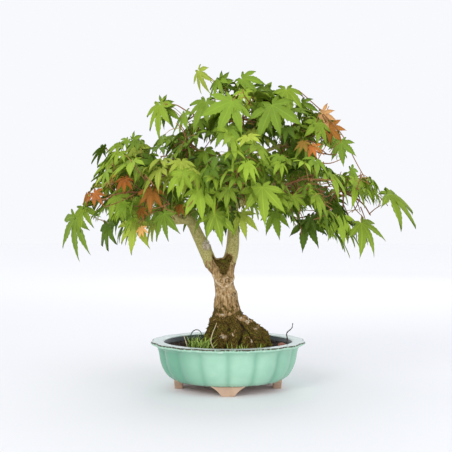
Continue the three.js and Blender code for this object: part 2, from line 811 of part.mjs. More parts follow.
// One stem enters from the bough's tip and parts into twigs that reach evenly through the
// space. Leaves hang from them all round, where they touch neither a limb nor each other.
function growMass(mass, seed) {
  const random = seededNumbers(seed);
  const bough = LIMBS.find((limb) => limb.name === mass.bough);
  const curve = limbCurve(bough);
  const heading = curve.getTangentAt(1);
  const foot = curve.getPointAt(1).addScaledVector(heading, GAP);
  const stemRadius = bough.radii[1];
  const elbow = foot.clone().addScaledVector(heading, 5);
  const heart = foot.clone().lerp(mass.centre, 0.7);
  const solids = [
    twigSolid(foot, elbow, stemRadius, stemRadius * 0.9),
    twigSolid(elbow.clone().addScaledVector(heading, -1), heart, stemRadius * 0.9, TWIG_RADIUS),
  ];

  const twigs = [[elbow, heart]];
  for (let i = 0; i < TWIGS_PER_MASS; i += 1) {
    const way = spreadDirection(i, TWIGS_PER_MASS).multiply(mass.radii);
    const start = elbow.clone().lerp(heart, 0.4 + (0.6 * (i + 1)) / TWIGS_PER_MASS);
    const end = mass.centre.clone().addScaledVector(way, TWIG_REACH);
    if (!keepsOwnSide(mass, end)) {
      end.lerp(start, TWIG_SHORTENING);
    }
    if (keepsOwnSide(mass, end) && clearOfLimbs(start, end, TWIG_RADIUS)) {
      solids.push(twigSolid(start, end, TWIG_RADIUS, TWIG_RADIUS * 0.6));
      twigs.push([start, end]);
    }
  }

  const leaves = [];
  mass.far.forEach(([stalkEnd, lobeTip]) => {
    const hub = new THREE.Vector3(...stalkEnd);
    const pointing = new THREE.Vector3(...lobeTip).sub(hub);
    const start = stalkPoint(twigs, hub);
    const end = start.clone().lerp(hub, 0.6);
    const shootTip = start.clone().lerp(end, 0.8);
    const leaf = placeLeaf(shootTip, hub, pointing.clone().normalize(), pointing.length());
    solids.push(twigSolid(start, end, TWIG_RADIUS * 0.8, TWIG_RADIUS * 0.6));
    twigs.push([start, end]);
    leaves.push(leafSolid(leaf));
  });

  const tries = mass.leaves * TRIES_PER_LEAF;
  const wanted = mass.leaves;
  for (let i = 0; i < tries && leaves.length < wanted; i += 1) {
    const share = (i * GOLDEN_SHARE) % 1;
    const way = spreadDirection(Math.floor(share * tries), tries).multiply(mass.radii);
    const hub = mass.centre.clone().addScaledVector(way, THREE.MathUtils.lerp(0.4, 0.95, random()));
    const size = LEAF_SIZES[Math.floor((LEAF_SIZES.length * i) / tries)];
    const leaf = hangingLeaf(mass, hub, size, twigs, random);
    if (stalkFits(leaf) && leafFits(mass, leaf)) {
      const solid = leafSolid(leaf);
      if (leaves.every((other) => solid.intersect(other).isEmpty())) {
        leaves.push(solid);
      }
    }
  }
  return joinSolids([...solids, ...leaves]);
}

// A mass whose leaves meet at a hair is grown again from the next seed
function buildMass(mass) {
  for (let seed = mass.seed; seed < mass.seed + MOST_SEEDS; seed += 1) {
    const geometry = toGeometry(growMass(mass, seed));
    if (geometry) {
      return geometry;
    }
  }
  throw new Error(`${mass.name} doesn't close`);
}

MASSES.forEach((mass) => addPiece(mass.name, buildMass(mass), 'leaf'));

export default maple;
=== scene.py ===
# %% [markdown]
# # A Japanese maple bonsai in a celadon pot
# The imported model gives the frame: its solids are already in place, in metres, with +Z up
# and -Y towards the front of the pot. This lesson dresses that frame piece by piece. The
# pot gets its glaze, the trunk its bark and moss, and the crown its twigs and leaves.

# %% Load the frame
import math
import random

import bmesh
import bpy
import numpy as np
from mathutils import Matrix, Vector, noise


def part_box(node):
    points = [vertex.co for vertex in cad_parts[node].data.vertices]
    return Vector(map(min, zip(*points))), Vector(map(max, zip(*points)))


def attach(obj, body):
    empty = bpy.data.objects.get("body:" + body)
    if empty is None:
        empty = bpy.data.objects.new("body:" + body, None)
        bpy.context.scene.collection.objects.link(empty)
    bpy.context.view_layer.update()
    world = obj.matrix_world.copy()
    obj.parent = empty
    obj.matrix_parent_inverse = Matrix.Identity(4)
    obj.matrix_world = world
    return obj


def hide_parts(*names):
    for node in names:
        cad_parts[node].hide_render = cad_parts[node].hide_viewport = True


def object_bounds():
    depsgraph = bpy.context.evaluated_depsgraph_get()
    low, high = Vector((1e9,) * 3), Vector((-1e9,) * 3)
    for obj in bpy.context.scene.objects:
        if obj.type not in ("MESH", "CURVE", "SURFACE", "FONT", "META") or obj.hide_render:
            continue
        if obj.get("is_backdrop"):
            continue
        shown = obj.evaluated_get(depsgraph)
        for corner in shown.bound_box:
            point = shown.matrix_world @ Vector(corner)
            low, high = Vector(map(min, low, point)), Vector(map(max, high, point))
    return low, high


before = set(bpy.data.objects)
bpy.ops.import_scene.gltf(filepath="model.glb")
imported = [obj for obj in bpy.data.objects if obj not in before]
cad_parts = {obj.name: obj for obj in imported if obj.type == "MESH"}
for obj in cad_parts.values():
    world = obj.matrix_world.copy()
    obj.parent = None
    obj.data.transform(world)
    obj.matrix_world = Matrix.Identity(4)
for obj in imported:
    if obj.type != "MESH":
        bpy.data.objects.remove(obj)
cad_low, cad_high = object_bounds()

MM = 0.001
print("frame is", [round(side / MM) for side in cad_high - cad_low], "mm")

# %% [markdown]
# ## Helpers
# Colours are given as sRGB hex values, but shaders count in linear light, so one
# function converts them. Another adds a shader node with its settings and its links.


# %% Helpers for colours and nodes
def linear(hex_colour):
    channels = [int(hex_colour[i:i + 2], 16) / 255 for i in (1, 3, 5)]
    light = [c / 12.92 if c <= 0.04045 else ((c + 0.055) / 1.055) ** 2.4 for c in channels]
    return (*light, 1.0)


def add_node(tree, kind, output, inputs, **settings):
    """Adds a shader node and gives back one of its outputs. An input takes the output of
    another node, a value, or a hex colour."""
    node = tree.nodes.new("ShaderNode" + kind)
    for name, value in settings.items():
        setattr(node, name, value)
    for name, value in inputs.items():
        if isinstance(value, bpy.types.NodeSocket):
            tree.links.new(value, node.inputs[name])
        else:
            node.inputs[name].default_value = linear(value) if isinstance(value, str) else value
    return node.outputs[output]


def new_material(name, **shader_settings):
    """A material whose shader has these settings, its node tree, its shader, and the place
    on the object, which its textures start from."""
    material = bpy.data.materials.new(name)
    material.use_nodes = True
    tree = material.node_tree
    shader = tree.nodes["Principled BSDF"]
    for setting, value in shader_settings.items():
        shader.inputs[setting.replace("_", " ")].default_value = value
    return material, tree, shader, add_node(tree, "TexCoord", "Object", {})


# %% [markdown]
# Shapes are worked out in mm with numpy, each as an array of corners and a list of faces.
# One function joins shapes into a piece, in metres. Another settles a piece in the frame:
# it hangs the piece from the frame's root and hides the solids that the piece stands for.


# %% Helpers for pieces
def new_piece(name, shapes, *materials):
    """A smooth mesh in metres, joined from shapes in mm."""
    corners, faces, count = [], [], 0
    for shape_corners, shape_faces in shapes:
        corners.append(shape_corners)
        faces.extend(tuple(i + count for i in face) for face in shape_faces)
        count += len(shape_corners)
    mesh = bpy.data.meshes.new(name)
    mesh.from_pydata((np.concatenate(corners) * MM).tolist(), [], faces)
    for material in materials:
        mesh.materials.append(material)
    mesh.polygons.foreach_set("use_smooth", [True] * len(mesh.polygons))
    mesh.update()
    piece = bpy.data.objects.new(name, mesh)
    bpy.context.collection.objects.link(piece)
    return piece


def settle(piece, slot, *replaced_nodes):
    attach(piece, "root")
    if replaced_nodes:
        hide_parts(*replaced_nodes)
    print(piece.name, "has", len(piece.data.polygons), "faces")


def paint(piece, name, values):
    """Stores one number for each corner, for the material to read by this name."""
    attribute = piece.data.attributes.new(name, "FLOAT", "POINT")
    attribute.data.foreach_set("value", np.asarray(values, dtype=np.float32))


def of_corners(piece, what):
    """What each corner has, as rows of three: "co" is its place and "normal" its normal."""
    rows = np.empty(3 * len(piece.data.vertices))
    piece.data.vertices.foreach_get(what, rows)
    return rows.reshape(-1, 3)


def bake_modifiers(piece):
    evaluated = piece.evaluated_get(bpy.context.evaluated_depsgraph_get())
    mesh = bpy.data.meshes.new_from_object(evaluated)
    piece.modifiers.clear()
    piece.data = mesh


def smoothstep(low, high, value):
    share = np.clip((np.asarray(value, dtype=float) - low) / (high - low), 0, 1)
    return share * share * (3 - 2 * share)


def bell(away, reach):
    """One at no distance, fading out over this reach."""
    return np.exp(-(away / reach) ** 2)


# %% [markdown]
# Limbs, twigs and stalks are all tubes along a smooth curve through a few points. The
# curve is a Catmull-Rom spline, as in the frame, because it passes through every point.

# %% Helpers for curves and tubes
SAMPLES_PER_SPAN = 8
FULL_TURN = 2 * math.pi


def smooth_path(points, steps):
    """Points along a smooth curve through the given ones, evenly spread."""
    points = np.asarray(points, dtype=float)
    ends = [2 * points[0] - points[1], *points, 2 * points[-1] - points[-2]]
    spans = len(points) - 1
    path = []
    for share in np.linspace(0, spans, SAMPLES_PER_SPAN * spans + 1):
        span = min(int(share), spans - 1)
        t = share - span
        a, b, c, d = ends[span:span + 4]
        path.append(0.5 * (2 * b + (c - a) * t + (2 * a - 5 * b + 4 * c - d) * t ** 2
                           + (3 * b - a - 3 * c + d) * t ** 3))
    path = np.array(path)
    lengths = np.r_[0, np.cumsum(np.linalg.norm(np.diff(path, axis=0), axis=1))]
    wanted = np.linspace(0, lengths[-1], steps + 1)
    return np.stack([np.interp(wanted, lengths, line) for line in path.T], 1)


def turns_round(sides):
    return np.linspace(0, FULL_TURN, sides, endpoint=False)


def ring_faces(rings, sides):
    """Faces between rings of corners, one ring after another."""
    return [
        (ring * sides + side, ring * sides + (side + 1) % sides,
         (ring + 1) * sides + (side + 1) % sides, (ring + 1) * sides + side)
        for ring in range(rings - 1) for side in range(sides)
    ]


def closed_rings(corners, sides):
    """A shape from rings of corners, with a flat face over the first ring and the last."""
    count = len(corners)
    faces = ring_faces(count // sides, sides)
    faces += [tuple(range(sides))[::-1], tuple(range(count - sides, count))]
    return np.array(corners), faces


def tube(path, radii, sides):
    ways = np.gradient(path, axis=0)
    ways /= np.linalg.norm(ways, axis=1)[:, None]
    across = np.cross(ways[0], [0.31, 0.95, 0.05])
    turns = turns_round(sides)
    corners = []
    for place, way, radius in zip(path, ways, radii):
        across = across - way * across.dot(way)
        across /= np.linalg.norm(across)
        up = np.cross(way, across)
        corners.extend(place + radius * (math.cos(a) * across + math.sin(a) * up) for a in turns)
    return closed_rings(corners, sides)


def tapered_tube(points, steps, radii, sides):
    """A tube through a few points, from one radius to another."""
    path = smooth_path(points, steps)
    return tube(path, np.linspace(*radii, len(path)), sides)


# %% [markdown]
# ## Glazed stoneware
# The pot is stoneware under a celadon glaze: a clear glass coloured green by a little iron,
# brushed on thick and fired until it runs. It pools in the grooves, where it looks deeper,
# and thins on the edges, where the brown clay shows through. The ends of the oval are also
# darkened with painted shade, the left one most, and near white dashes under the lip are
# painted highlights. The feet stay bare, so that they don't stick to the kiln shelf. A glaze
# has the IOR of glass, about 1.5, and is almost smooth: the small waves in it are some
# millimetres apart. The mesh carries a painted number for each of these, and noise breaks
# their borders up.


# %% A material in two shades with painted layers
def natural_stuff(name, shades, noises, layers=(), bump=None, **shader_settings):
    """Noises have a size in mm and a detail, and clouds mixes the shades. A layer has a
    painted number, the noise to multiply it by, the limits between which the product
    shows, and a shade. The bump has a noise, a strength and a height in mm."""
    material, tree, shader, place = new_material(name, **shader_settings)
    noises = {
        noise_name: add_node(tree, "TexNoise", "Fac", {
            "Vector": place, "Scale": 1 / (size * MM), "Detail": detail})
        for noise_name, (size, detail) in noises.items()
    }
    colour = add_node(tree, "MixRGB", "Color", {
        "Fac": noises["clouds"], "Color1": shades[0], "Color2": shades[1]})
    for number_name, noise_name, low, high, shade in layers:
        share = add_node(tree, "Attribute", "Fac", {}, attribute_name=number_name)
        if noise_name:
            product = add_node(
                tree, "Math", "Value", {0: share, 1: noises[noise_name]}, operation="MULTIPLY")
            share = add_node(tree, "MapRange", "Result", {
                "Value": product, "From Min": low, "From Max": high})
        colour = add_node(tree, "MixRGB", "Color", {
            "Fac": share, "Color1": colour, "Color2": shade})
    tree.links.new(colour, shader.inputs["Base Color"])
    if bump:
        noise_name, strength, height = bump
        normal = add_node(tree, "Bump", "Normal", {
            "Height": noises[noise_name], "Strength": strength, "Distance": height * MM})
        tree.links.new(normal, shader.inputs["Normal"])
    return material


# %% Glaze and clay
GLASS_IOR = 1.52

CELADON = natural_stuff(
    "celadon_glaze", ("#93C5AA", "#B6DEC6"),
    {"clouds": (14, 4), "specks": (2.2, 6), "dashes": (5, 2), "waves": (6, 2)},
    # deeper green where the glaze pools in the grooves, and painted shade at the ends of the
    # oval
    [("pooled_glaze_and_shade", None, 0, 1, "#5E9C80"), ("thin", "specks", 0.2, 0.42, "#3E3826"),
     # near white dashes under the lip: painted highlights
     ("painted_glints", "dashes", 0.44, 0.54, "#EEF5EE")],
    bump=("waves", 0.25, 0.4), Roughness=0.24, IOR=GLASS_IOR)
RIM_GLAZE = natural_stuff(
    "pale_rim_glaze", ("#A3BDB8", "#DCE8EA"), {"clouds": (9, 5), "specks": (2.5, 6)},
    [("thin", "specks", 0.22, 0.42, "#4A4634")], Roughness=0.2, IOR=GLASS_IOR)
# The inside is a dark teal glaze, darkened further to near black with painted shade
INSIDE_GLAZE_AND_SHADE = natural_stuff(
    "inside_glaze_with_painted_shade", ("#11181A", "#37494B"), {"clouds": (5, 5)},
    Roughness=0.25, IOR=GLASS_IOR)
CLAY = natural_stuff(
    "bare_clay", ("#A98870", "#D3B69C"), {"clouds": (8, 6), "grain": (0.7, 3)},
    bump=("grain", 0.5, 0.2), Roughness=0.85)
POT_FINISHES = [CELADON, RIM_GLAZE, INSIDE_GLAZE_AND_SHADE, CLAY]
print("pot materials:", [finish.name for finish in POT_FINISHES])

# %% [markdown]
# ## The pot
# The real pot was pressed in a mould: an oval bowl with sixteen soft lobes, a flat lip that
# flares past the wall, and four low feet. It is turned here like a lathe piece from one
# profile, then pushed in at the grooves and flattened to an oval. That keeps the wall one
# even surface, which a glaze needs, because any kink would show in its reflections.

# %% Profile of the pot
POT_LENGTH, POT_DEPTH, POT_HEIGHT = 155, 125, 47.5
HALF = POT_LENGTH / 2
POT_LOBES, STEPS_PER_LOBE = 16, 16
GROOVE_SOFTNESS = 0.02
FOOT_HEIGHT, SOIL_LEVEL, INSIDE_FLOOR = 9, 41, 13.5
WALL_STEPS = 46


def rows_from(level, offsets):
    """Rows as half length, height and groove depth, from how far each lies inside the
    pot's end, how far above this level, and its groove."""
    return [(HALF - inward, level + up, groove) for inward, up, groove in offsets]


UNDERSIDE = rows_from(FOOT_HEIGHT, [(HALF, 0, 0), (30, 0, 0), (25, 0, 0.6)])
WALL = rows_from(FOOT_HEIGHT, [
    (23.5, 0.3, 1), (21.6, 1.3, 1.6), (17, 4.6, 2.2), (12.6, 11, 2.8), (9.6, 19, 2.8),
    (8.2, 27, 2.6),
]) + rows_from(POT_HEIGHT, [
    (7, -7, 2.4), (5.4, -5, 2.2), (2.8, -3.8, 2), (0.8, -2.9, 2), (0, -2, 2.1), (0.1, -1, 2.2),
])
LIP = rows_from(POT_HEIGHT, [
    (0.9, -0.2, 2.2), (2.2, 0, 2), (6, -0.3, 1), (11, -0.2, 0.2), (12.6, -0.4, 0),
])
INSIDE = [(HALF - 13.6, POT_HEIGHT - 1.4, 0), (HALF - 15, SOIL_LEVEL, 0)] + rows_from(
    INSIDE_FLOOR, [(17.6, 9, 0), (23, 1.5, 0), (28, 0, 0), (HALF, 0, 0)])
SMOOTH_WALL = smooth_path([UNDERSIDE[-1], *WALL, LIP[0]], WALL_STEPS)[1:-1]
ROWS = np.array([*UNDERSIDE, *SMOOTH_WALL, *LIP, *INSIDE])
ROW_FINISHES = ([CLAY] * len(UNDERSIDE) + [CELADON] * len(SMOOTH_WALL)
                + [RIM_GLAZE] * len(LIP) + [INSIDE_GLAZE_AND_SHADE] * len(INSIDE))
print("pot profile:", len(ROWS), "rows")


# %% Pot body
POT_SIDES = POT_LOBES * STEPS_PER_LOBE
POT_TURNS = turns_round(POT_SIDES)
BULGE = np.sqrt(np.sin(POT_LOBES / 2 * POT_TURNS) ** 2 + GROOVE_SOFTNESS)
BULGE = (BULGE - BULGE.min()) / (BULGE.max() - BULGE.min())
POT_REACH, POT_LEVEL, POT_GROOVE = (column[:, None] for column in ROWS[1:-1].T)


def build_pot():
    reach = POT_REACH - POT_GROOVE * (1 - BULGE)
    corners = np.stack([
        reach * np.cos(POT_TURNS), reach * np.sin(POT_TURNS) * POT_DEPTH / POT_LENGTH,
        POT_LEVEL + 0 * BULGE,
    ], axis=-1).reshape(-1, 3)
    faces = ring_faces(len(reach), POT_SIDES)
    walls = len(faces)
    bottom, floor, last = len(corners), len(corners) + 1, len(corners) - POT_SIDES
    for side in range(POT_SIDES):
        after = (side + 1) % POT_SIDES
        faces += [(bottom, after, side), (floor, last + side, last + after)]
    corners = np.vstack([corners, [0, 0, FOOT_HEIGHT], [0, 0, INSIDE_FLOOR]])
    pot = new_piece("pot_body", [(corners, faces)], *POT_FINISHES)
    for face in pot.data.polygons:
        if face.index < walls:
            finish = ROW_FINISHES[face.index // POT_SIDES + 1]
        else:
            finish = CLAY if face.center.z < (FOOT_HEIGHT + 1) * MM else INSIDE_GLAZE_AND_SHADE
        face.material_index = POT_FINISHES.index(finish)
    return pot


pot = build_pot()
print("pot body is", [round(side / MM, 1) for side in pot.dimensions], "mm")

# %% Where the glaze pools, thins and beads
outside = (np.arange(len(POT_LEVEL)) < len(UNDERSIDE) + len(SMOOTH_WALL) - 1)[:, None]
below_lip = smoothstep(POT_HEIGHT - 1, POT_HEIGHT - 8, POT_LEVEL)
# No two grooves hold the same glaze. The ends of the oval, the left one most, are darkened with
# painted shade
uneven = 0.6 + 0.4 * np.cos(5.3 * np.round(POT_TURNS / FULL_TURN * POT_LOBES))
ends = (0.85 * smoothstep(-0.1, -0.85, np.cos(POT_TURNS))
        + 0.45 * smoothstep(0.3, 0.9, np.cos(POT_TURNS)))
rim_edge = bell(POT_LEVEL - POT_HEIGHT + 0.7, 1) * (POT_REACH > HALF - 2)
foot_edge = 0.9 * bell(POT_LEVEL - FOOT_HEIGHT - 0.6, 0.7) * outside
for name, amount in (
    ("pooled_glaze_and_shade", (0.5 * uneven * (1 - BULGE) ** 3 + ends) * outside * below_lip),
    ("thin", np.maximum(rim_edge, foot_edge)),
    # a band just under the lip for the painted highlights
    ("painted_glints", bell(POT_LEVEL - POT_HEIGHT + 2.7, 0.8) * outside),
):
    paint(pot, name, np.append((amount + 0 * BULGE).ravel(), [0, 0]))
    print(name, "reaches", round(float(amount.max()), 2))

# %% [markdown]
# Two holes in the bottom let water out. The potter cuts them from the soft clay with a
# tube, and so does a boolean with two round cutters, which are thrown away afterwards.

# %% Drain holes
DRAIN_RADIUS, DRAIN_OFFSET, DRAIN_SIDES = 6, 26, 48


def drain_cutter(x):
    rings = [(x + DRAIN_RADIUS * math.cos(turn), DRAIN_RADIUS * math.sin(turn), height)
             for height in (FOOT_HEIGHT - 5, INSIDE_FLOOR + 3)
             for turn in turns_round(DRAIN_SIDES)]
    return new_piece("drain_cutter", [closed_rings(rings, DRAIN_SIDES)], CLAY)


cutters = [drain_cutter(-DRAIN_OFFSET), drain_cutter(DRAIN_OFFSET)]
for cutter in cutters:
    drain = pot.modifiers.new("drain", "BOOLEAN")
    drain.object = cutter
    drain.operation = "DIFFERENCE"
    drain.solver = "EXACT"
bake_modifiers(pot)
for cutter in cutters:
    bpy.data.objects.remove(cutter)
settle(pot, "glaze", "pot")

# %% [markdown]
# The feet are cloud feet: each flares in a hollow curve from a small flat sole up into the
# underside. One outline is drawn, extruded to the foot's thickness and rounded at its edges
# with a bevel, as a wet sponge rounds the edges of soft clay.

# %% Pot feet
FOOT_TOP_WIDTH, FOOT_SOLE_WIDTH, FOOT_THICKNESS, FOOT_SUNK = 32, 12, 8, 1.2
FOOT_ROUNDING, ROUNDED_FROM_DEGREES = 0.8, 50


def foot_outline():
    """The foot's face, from the sole round by the underside, as (across, up)."""
    start, end = (FOOT_SOLE_WIDTH / 2, 0), (FOOT_TOP_WIDTH / 2, FOOT_HEIGHT)
    pull = (FOOT_TOP_WIDTH * 0.32, FOOT_HEIGHT * 0.7)
    side = [start]
    for t in np.linspace(0.15, 1, 8):
        side.append(tuple(
            (1 - t) ** 2 * s + 2 * t * (1 - t) * p + t ** 2 * e
            for s, p, e in zip(start, pull, end)
        ))
    side.append((FOOT_TOP_WIDTH / 2, FOOT_HEIGHT + FOOT_SUNK))
    return side + [(-across, up) for across, up in reversed(side)]


def build_foot(name, bearing, distance):
    outline = foot_outline()
    corners, faces = closed_rings(
        [(across, depth, up) for depth in (-distance, FOOT_THICKNESS - distance)
         for across, up in outline], len(outline))
    turn = np.array([[math.cos(bearing), -math.sin(bearing), 0],
                     [math.sin(bearing), math.cos(bearing), 0], [0, 0, 1]])
    foot = new_piece(name, [(corners @ turn.T, faces)], CLAY)
    rounding = foot.modifiers.new("rounding", "BEVEL")
    rounding.width = FOOT_ROUNDING * MM
    rounding.segments = 3
    rounding.limit_method = "ANGLE"
    rounding.angle_limit = math.radians(ROUNDED_FROM_DEGREES)
    bake_modifiers(foot)
    settle(foot, "glaze", "pot")


ALONG = HALF - 24.5
ACROSS = (HALF - 23.5) * POT_DEPTH / POT_LENGTH - 1
build_foot("pot_foot_front", 0, ACROSS)
build_foot("pot_foot_right", math.pi / 2, ALONG)
build_foot("pot_foot_back", math.pi, ACROSS)
build_foot("pot_foot_left", -math.pi / 2, ALONG)

# %% [markdown]
# ## Potting soil
# The soil is a damp, near black mix of peat and small clay grains, 1 to 3 mm across. The
# frame's own soil block stays, since its shape is right, and gets the same material. What
# the eye sees is its top: an uneven crust with loose grains on it.

# %% Soil material
SOIL_GRAIN_MM, SOIL_CLOUD_MM = 1.4, 3
DULL = 0.2


def damp_soil():
    material, tree, shader, place = new_material(
        "damp_soil", Roughness=0.9, Specular_IOR_Level=DULL)
    tint = add_node(tree, "TexNoise", "Fac", {
        "Vector": place, "Scale": 1 / (SOIL_CLOUD_MM * MM), "Detail": 5})
    colour = add_node(tree, "MixRGB", "Color", {
        "Fac": tint, "Color1": "#15100C", "Color2": "#42342A"})
    tree.links.new(colour, shader.inputs["Base Color"])
    grains = add_node(tree, "TexVoronoi", "Distance", {
        "Vector": place, "Scale": 1 / (SOIL_GRAIN_MM * MM), "Randomness": 1.0})
    normal = add_node(tree, "Bump", "Normal", {
        "Height": grains, "Strength": 0.9, "Distance": 0.5 * MM})
    tree.links.new(normal, shader.inputs["Normal"])
    return material


SOIL = damp_soil()
soil_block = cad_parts["soil"]
soil_block.data.materials.clear()
soil_block.data.materials.append(SOIL)
print("soil material:", SOIL.name, "on", soil_block)

# %% [markdown]
# The crust is a disc of rings pushed up and down by noise. The loose grains are small
# rounded lumps, all joined in one piece, because a thousand objects would be slow to move.

# %% Soil surface
CRUST_RINGS, CRUST_SIDES = 46, 150
CRUST_RELIEF, CRUST_LUMP_MM = 1.1, 7
CRUST_HALF = HALF - 15.2


def soil_height(x, y):
    return SOIL_LEVEL + 0.7 + CRUST_RELIEF * noise.fractal(
        Vector((x / CRUST_LUMP_MM, y / CRUST_LUMP_MM, 0.3)), 0.8, 2.1, 4)


def build_crust():
    corners = [(0, 0, soil_height(0, 0))]
    for share in np.linspace(0, 1, CRUST_RINGS + 1)[1:]:
        for turn in turns_round(CRUST_SIDES):
            x = share * CRUST_HALF * math.cos(turn)
            y = share * (CRUST_HALF * POT_DEPTH / POT_LENGTH) * math.sin(turn)
            corners.append((x, y, soil_height(x, y)))
    faces = [(0, 1 + side, 1 + (side + 1) % CRUST_SIDES) for side in range(CRUST_SIDES)]
    faces += [tuple(1 + i for i in face) for face in ring_faces(CRUST_RINGS, CRUST_SIDES)]
    settle(new_piece("soil_crust", [(corners, faces)], SOIL), "soil")


build_crust()

# %% Loose grains
GRAINS, GRAINS_HALF = 520, HALF - 17


def lump(centre, half, rough, seed, detail):
    """A rounded lump with an uneven skin."""
    shape = bmesh.new()
    bmesh.ops.create_icosphere(shape, subdivisions=detail, radius=1)
    corners = []
    for corner in shape.verts:
        swell = 1 + rough * noise.noise(corner.co * 1.3 + Vector((seed, 0, 0)))
        corners.append([c * h * swell + m for c, h, m in zip(corner.co, half, centre)])
    faces = [tuple(corner.index for corner in face.verts) for face in shape.faces]
    shape.free()
    return corners, faces


def build_grains():
    dice = random.Random(5)
    lumps = []
    for i in range(GRAINS):
        turn, share = dice.uniform(0, FULL_TURN), math.sqrt(dice.random())
        x = share * GRAINS_HALF * math.cos(turn)
        y = share * GRAINS_HALF * POT_DEPTH / POT_LENGTH * math.sin(turn)
        size = dice.uniform(0.5, 1.5)
        half = [size * dice.uniform(0.7, 1.1) for _ in range(3)]
        lumps.append(lump((x, y, soil_height(x, y) + 0.3 * size), half, 0.5, i, detail=1))
    settle(new_piece("soil_grains", lumps, SOIL), "soil")


build_grains()

# %% [markdown]
# ## Bark
# A young maple's bark is smooth and olive green. It turns tan and flaky where the trunk is
# older, with pale patches where a flake has come off, and moss creeps up the foot, which
# stays damp. The mesh carries six painted numbers for this, one for each layer below; the
# last, dark one is painted shade in dents and hollows. The material adds noise to each and
# shows it where the sum is high, so that borders are torn in patches and none is straight.

# %% Bark material
NEW_FLAKES = ("#745A36", "#B7976A")
BARK_LAYERS = [  # painted number, noise that tears it, noise that mottles it, two shades
    ("flaked", "patches", "specks", ("#B69770", "#DEC6A0")),
    ("green", "clouds", "specks", ("#9C9250", "#CAC082")),
    ("moss", "patches", "specks", ("#2C2006", "#6E5A22")),
    ("fresh", "clouds", "specks", ("#34360A", "#7A7A20")),
    ("pale", "specks", "patches", ("#A8977C", "#DFD4C0")),
    # the dark layer is painted shade, in crevices, clefts and the hollow
    ("dark", "specks", "patches", ("#1E160A", "#463618")),
]
STREAK_STRETCH = 0.3
TORN_FROM, TORN_TO = 0.92, 1.06


def maple_bark():
    material, tree, shader, place = new_material(
        "maple_bark", Roughness=0.82, Specular_IOR_Level=DULL)
    along = add_node(tree, "Mapping", "Vector", {
        "Vector": place, "Scale": (1, 1, STREAK_STRETCH)})
    noises = {
        name: add_node(tree, "TexNoise", "Fac", {
            "Vector": vector, "Scale": 1 / (size * MM), "Detail": 6, "Roughness": 0.65})
        for name, vector, size in (
            ("streaks", along, 1.8), ("clouds", place, 8), ("patches", place, 4),
            ("specks", place, 1.3),
        )
    }
    sharp = {
        name: add_node(tree, "MapRange", "Result", {
            "Value": noises[name], "From Min": 0.4, "From Max": 0.6})
        for name in ("streaks", "patches", "specks")
    }
    colour = add_node(tree, "MixRGB", "Color", {
        "Fac": sharp["streaks"], "Color1": NEW_FLAKES[0], "Color2": NEW_FLAKES[1]})
    for name, tear, mottle, shades in BARK_LAYERS:
        painted = add_node(tree, "Attribute", "Fac", {}, attribute_name=name)
        total = add_node(tree, "Math", "Value", {0: painted, 1: noises[tear]}, operation="ADD")
        torn = add_node(tree, "MapRange", "Result", {
            "Value": total, "From Min": TORN_FROM, "From Max": TORN_TO})
        layer = add_node(tree, "MixRGB", "Color", {
            "Fac": sharp[mottle], "Color1": shades[0], "Color2": shades[1]})
        colour = add_node(tree, "MixRGB", "Color", {
            "Fac": torn, "Color1": colour, "Color2": layer})
    tree.links.new(colour, shader.inputs["Base Color"])
    relief = add_node(tree, "Bump", "Normal", {
        "Height": noises["streaks"], "Strength": 0.5, "Distance": 0.4 * MM})
    grain = add_node(tree, "Bump", "Normal", {
        "Height": noises["specks"], "Strength": 0.45, "Distance": 0.4 * MM, "Normal": relief})
    tree.links.new(grain, shader.inputs["Normal"])
    return material


BARK = maple_bark()
print("bark material:", BARK.name, "with", len(BARK_LAYERS), "painted layers")

# %% [markdown]
# ## Trunk and boughs
# The trunk and its limbs are one skin on the real tree. Here they start as overlapping
# tubes on the same routes as the frame's limbs. A voxel remesh melts them into one closed
# surface, and smoothing rounds the crotches. Then every corner is pushed along its normal
# by noise for the bark's relief, and by a few shapes for the scars of old cuts.

# %% Routes of trunk and boughs
FORK_LEVEL = 124
TRUNK_STATIONS = [  # lean, half width, half depth, height
    (10, 35, 28, SOIL_LEVEL - 1), (10, 34, 27, 50), (8, 30, 22, 58), (3.5, 23, 17, 66),
    (0, 16, 13.5, 74), (-1.6, 13, 12, 84), (-2, 11.3, 11, 95), (-4, 10, 10, 104),
    (-5, 11, 10, 112), (-7, 14, 10, 118.5), (-8, 16.8, 9.5, FORK_LEVEL),
]
LIMBS = {  # points of the route, radius at the start and the end
    "limb_left": ([(-16, 0, 122), (-22.5, 0, 136), (-29, 0, 150), (-35, 0, 163)], (6.9, 5.6)),
    "limb_left_outer": (
        [(-34, 0, 161), (-41, 2, 168), (-58, 6, 168), (-84, 12, 180)], (5.6, 2.8)),
    "leader": ([(-0.4, 0, 122), (4, 0, 136), (5.5, 0, 158), (5, 0, 187)], (7.2, 4.9)),
    "leader_top": ([(5, 0, 185), (4.5, 1, 210), (2.5, 2, 238), (10, 3, 262)], (4.7, 1.8)),
    "bough_left_front": ([(-49, 4, 168), (-56, -16, 174), (-72, -38, 186)], (2.9, 1.8)),
    "bough_left_back": ([(-60, 6, 169), (-66, 24, 178), (-72, 44, 194)], (2.7, 1.8)),
    "bough_front": ([(5.5, 0, 172), (5, -24, 182), (0, -48, 196)], (3, 1.8)),
    "bough_right": ([(5.2, 0, 180), (44, -8, 199), (100, -16, 208)], (3.6, 1.9)),
    "bough_right_front": ([(30, -5, 192.5), (42, -26, 194), (60, -44, 192)], (2.4, 1.6)),
    "bough_right_back": ([(5, 0, 196), (26, 20, 202), (54, 42, 206)], (2.8, 1.7)),
    "bough_back": ([(4.8, 1, 204), (4, 26, 210), (0, 54, 222)], (2.8, 1.7)),
    "bough_upper_left": ([(4.5, 1, 212), (-12, -2, 222), (-34, -6, 240)], (2.6, 1.6)),
    "bough_upper_right": ([(4, 1.5, 220), (28, -2, 232), (64, -8, 246)], (2.6, 1.6)),
}
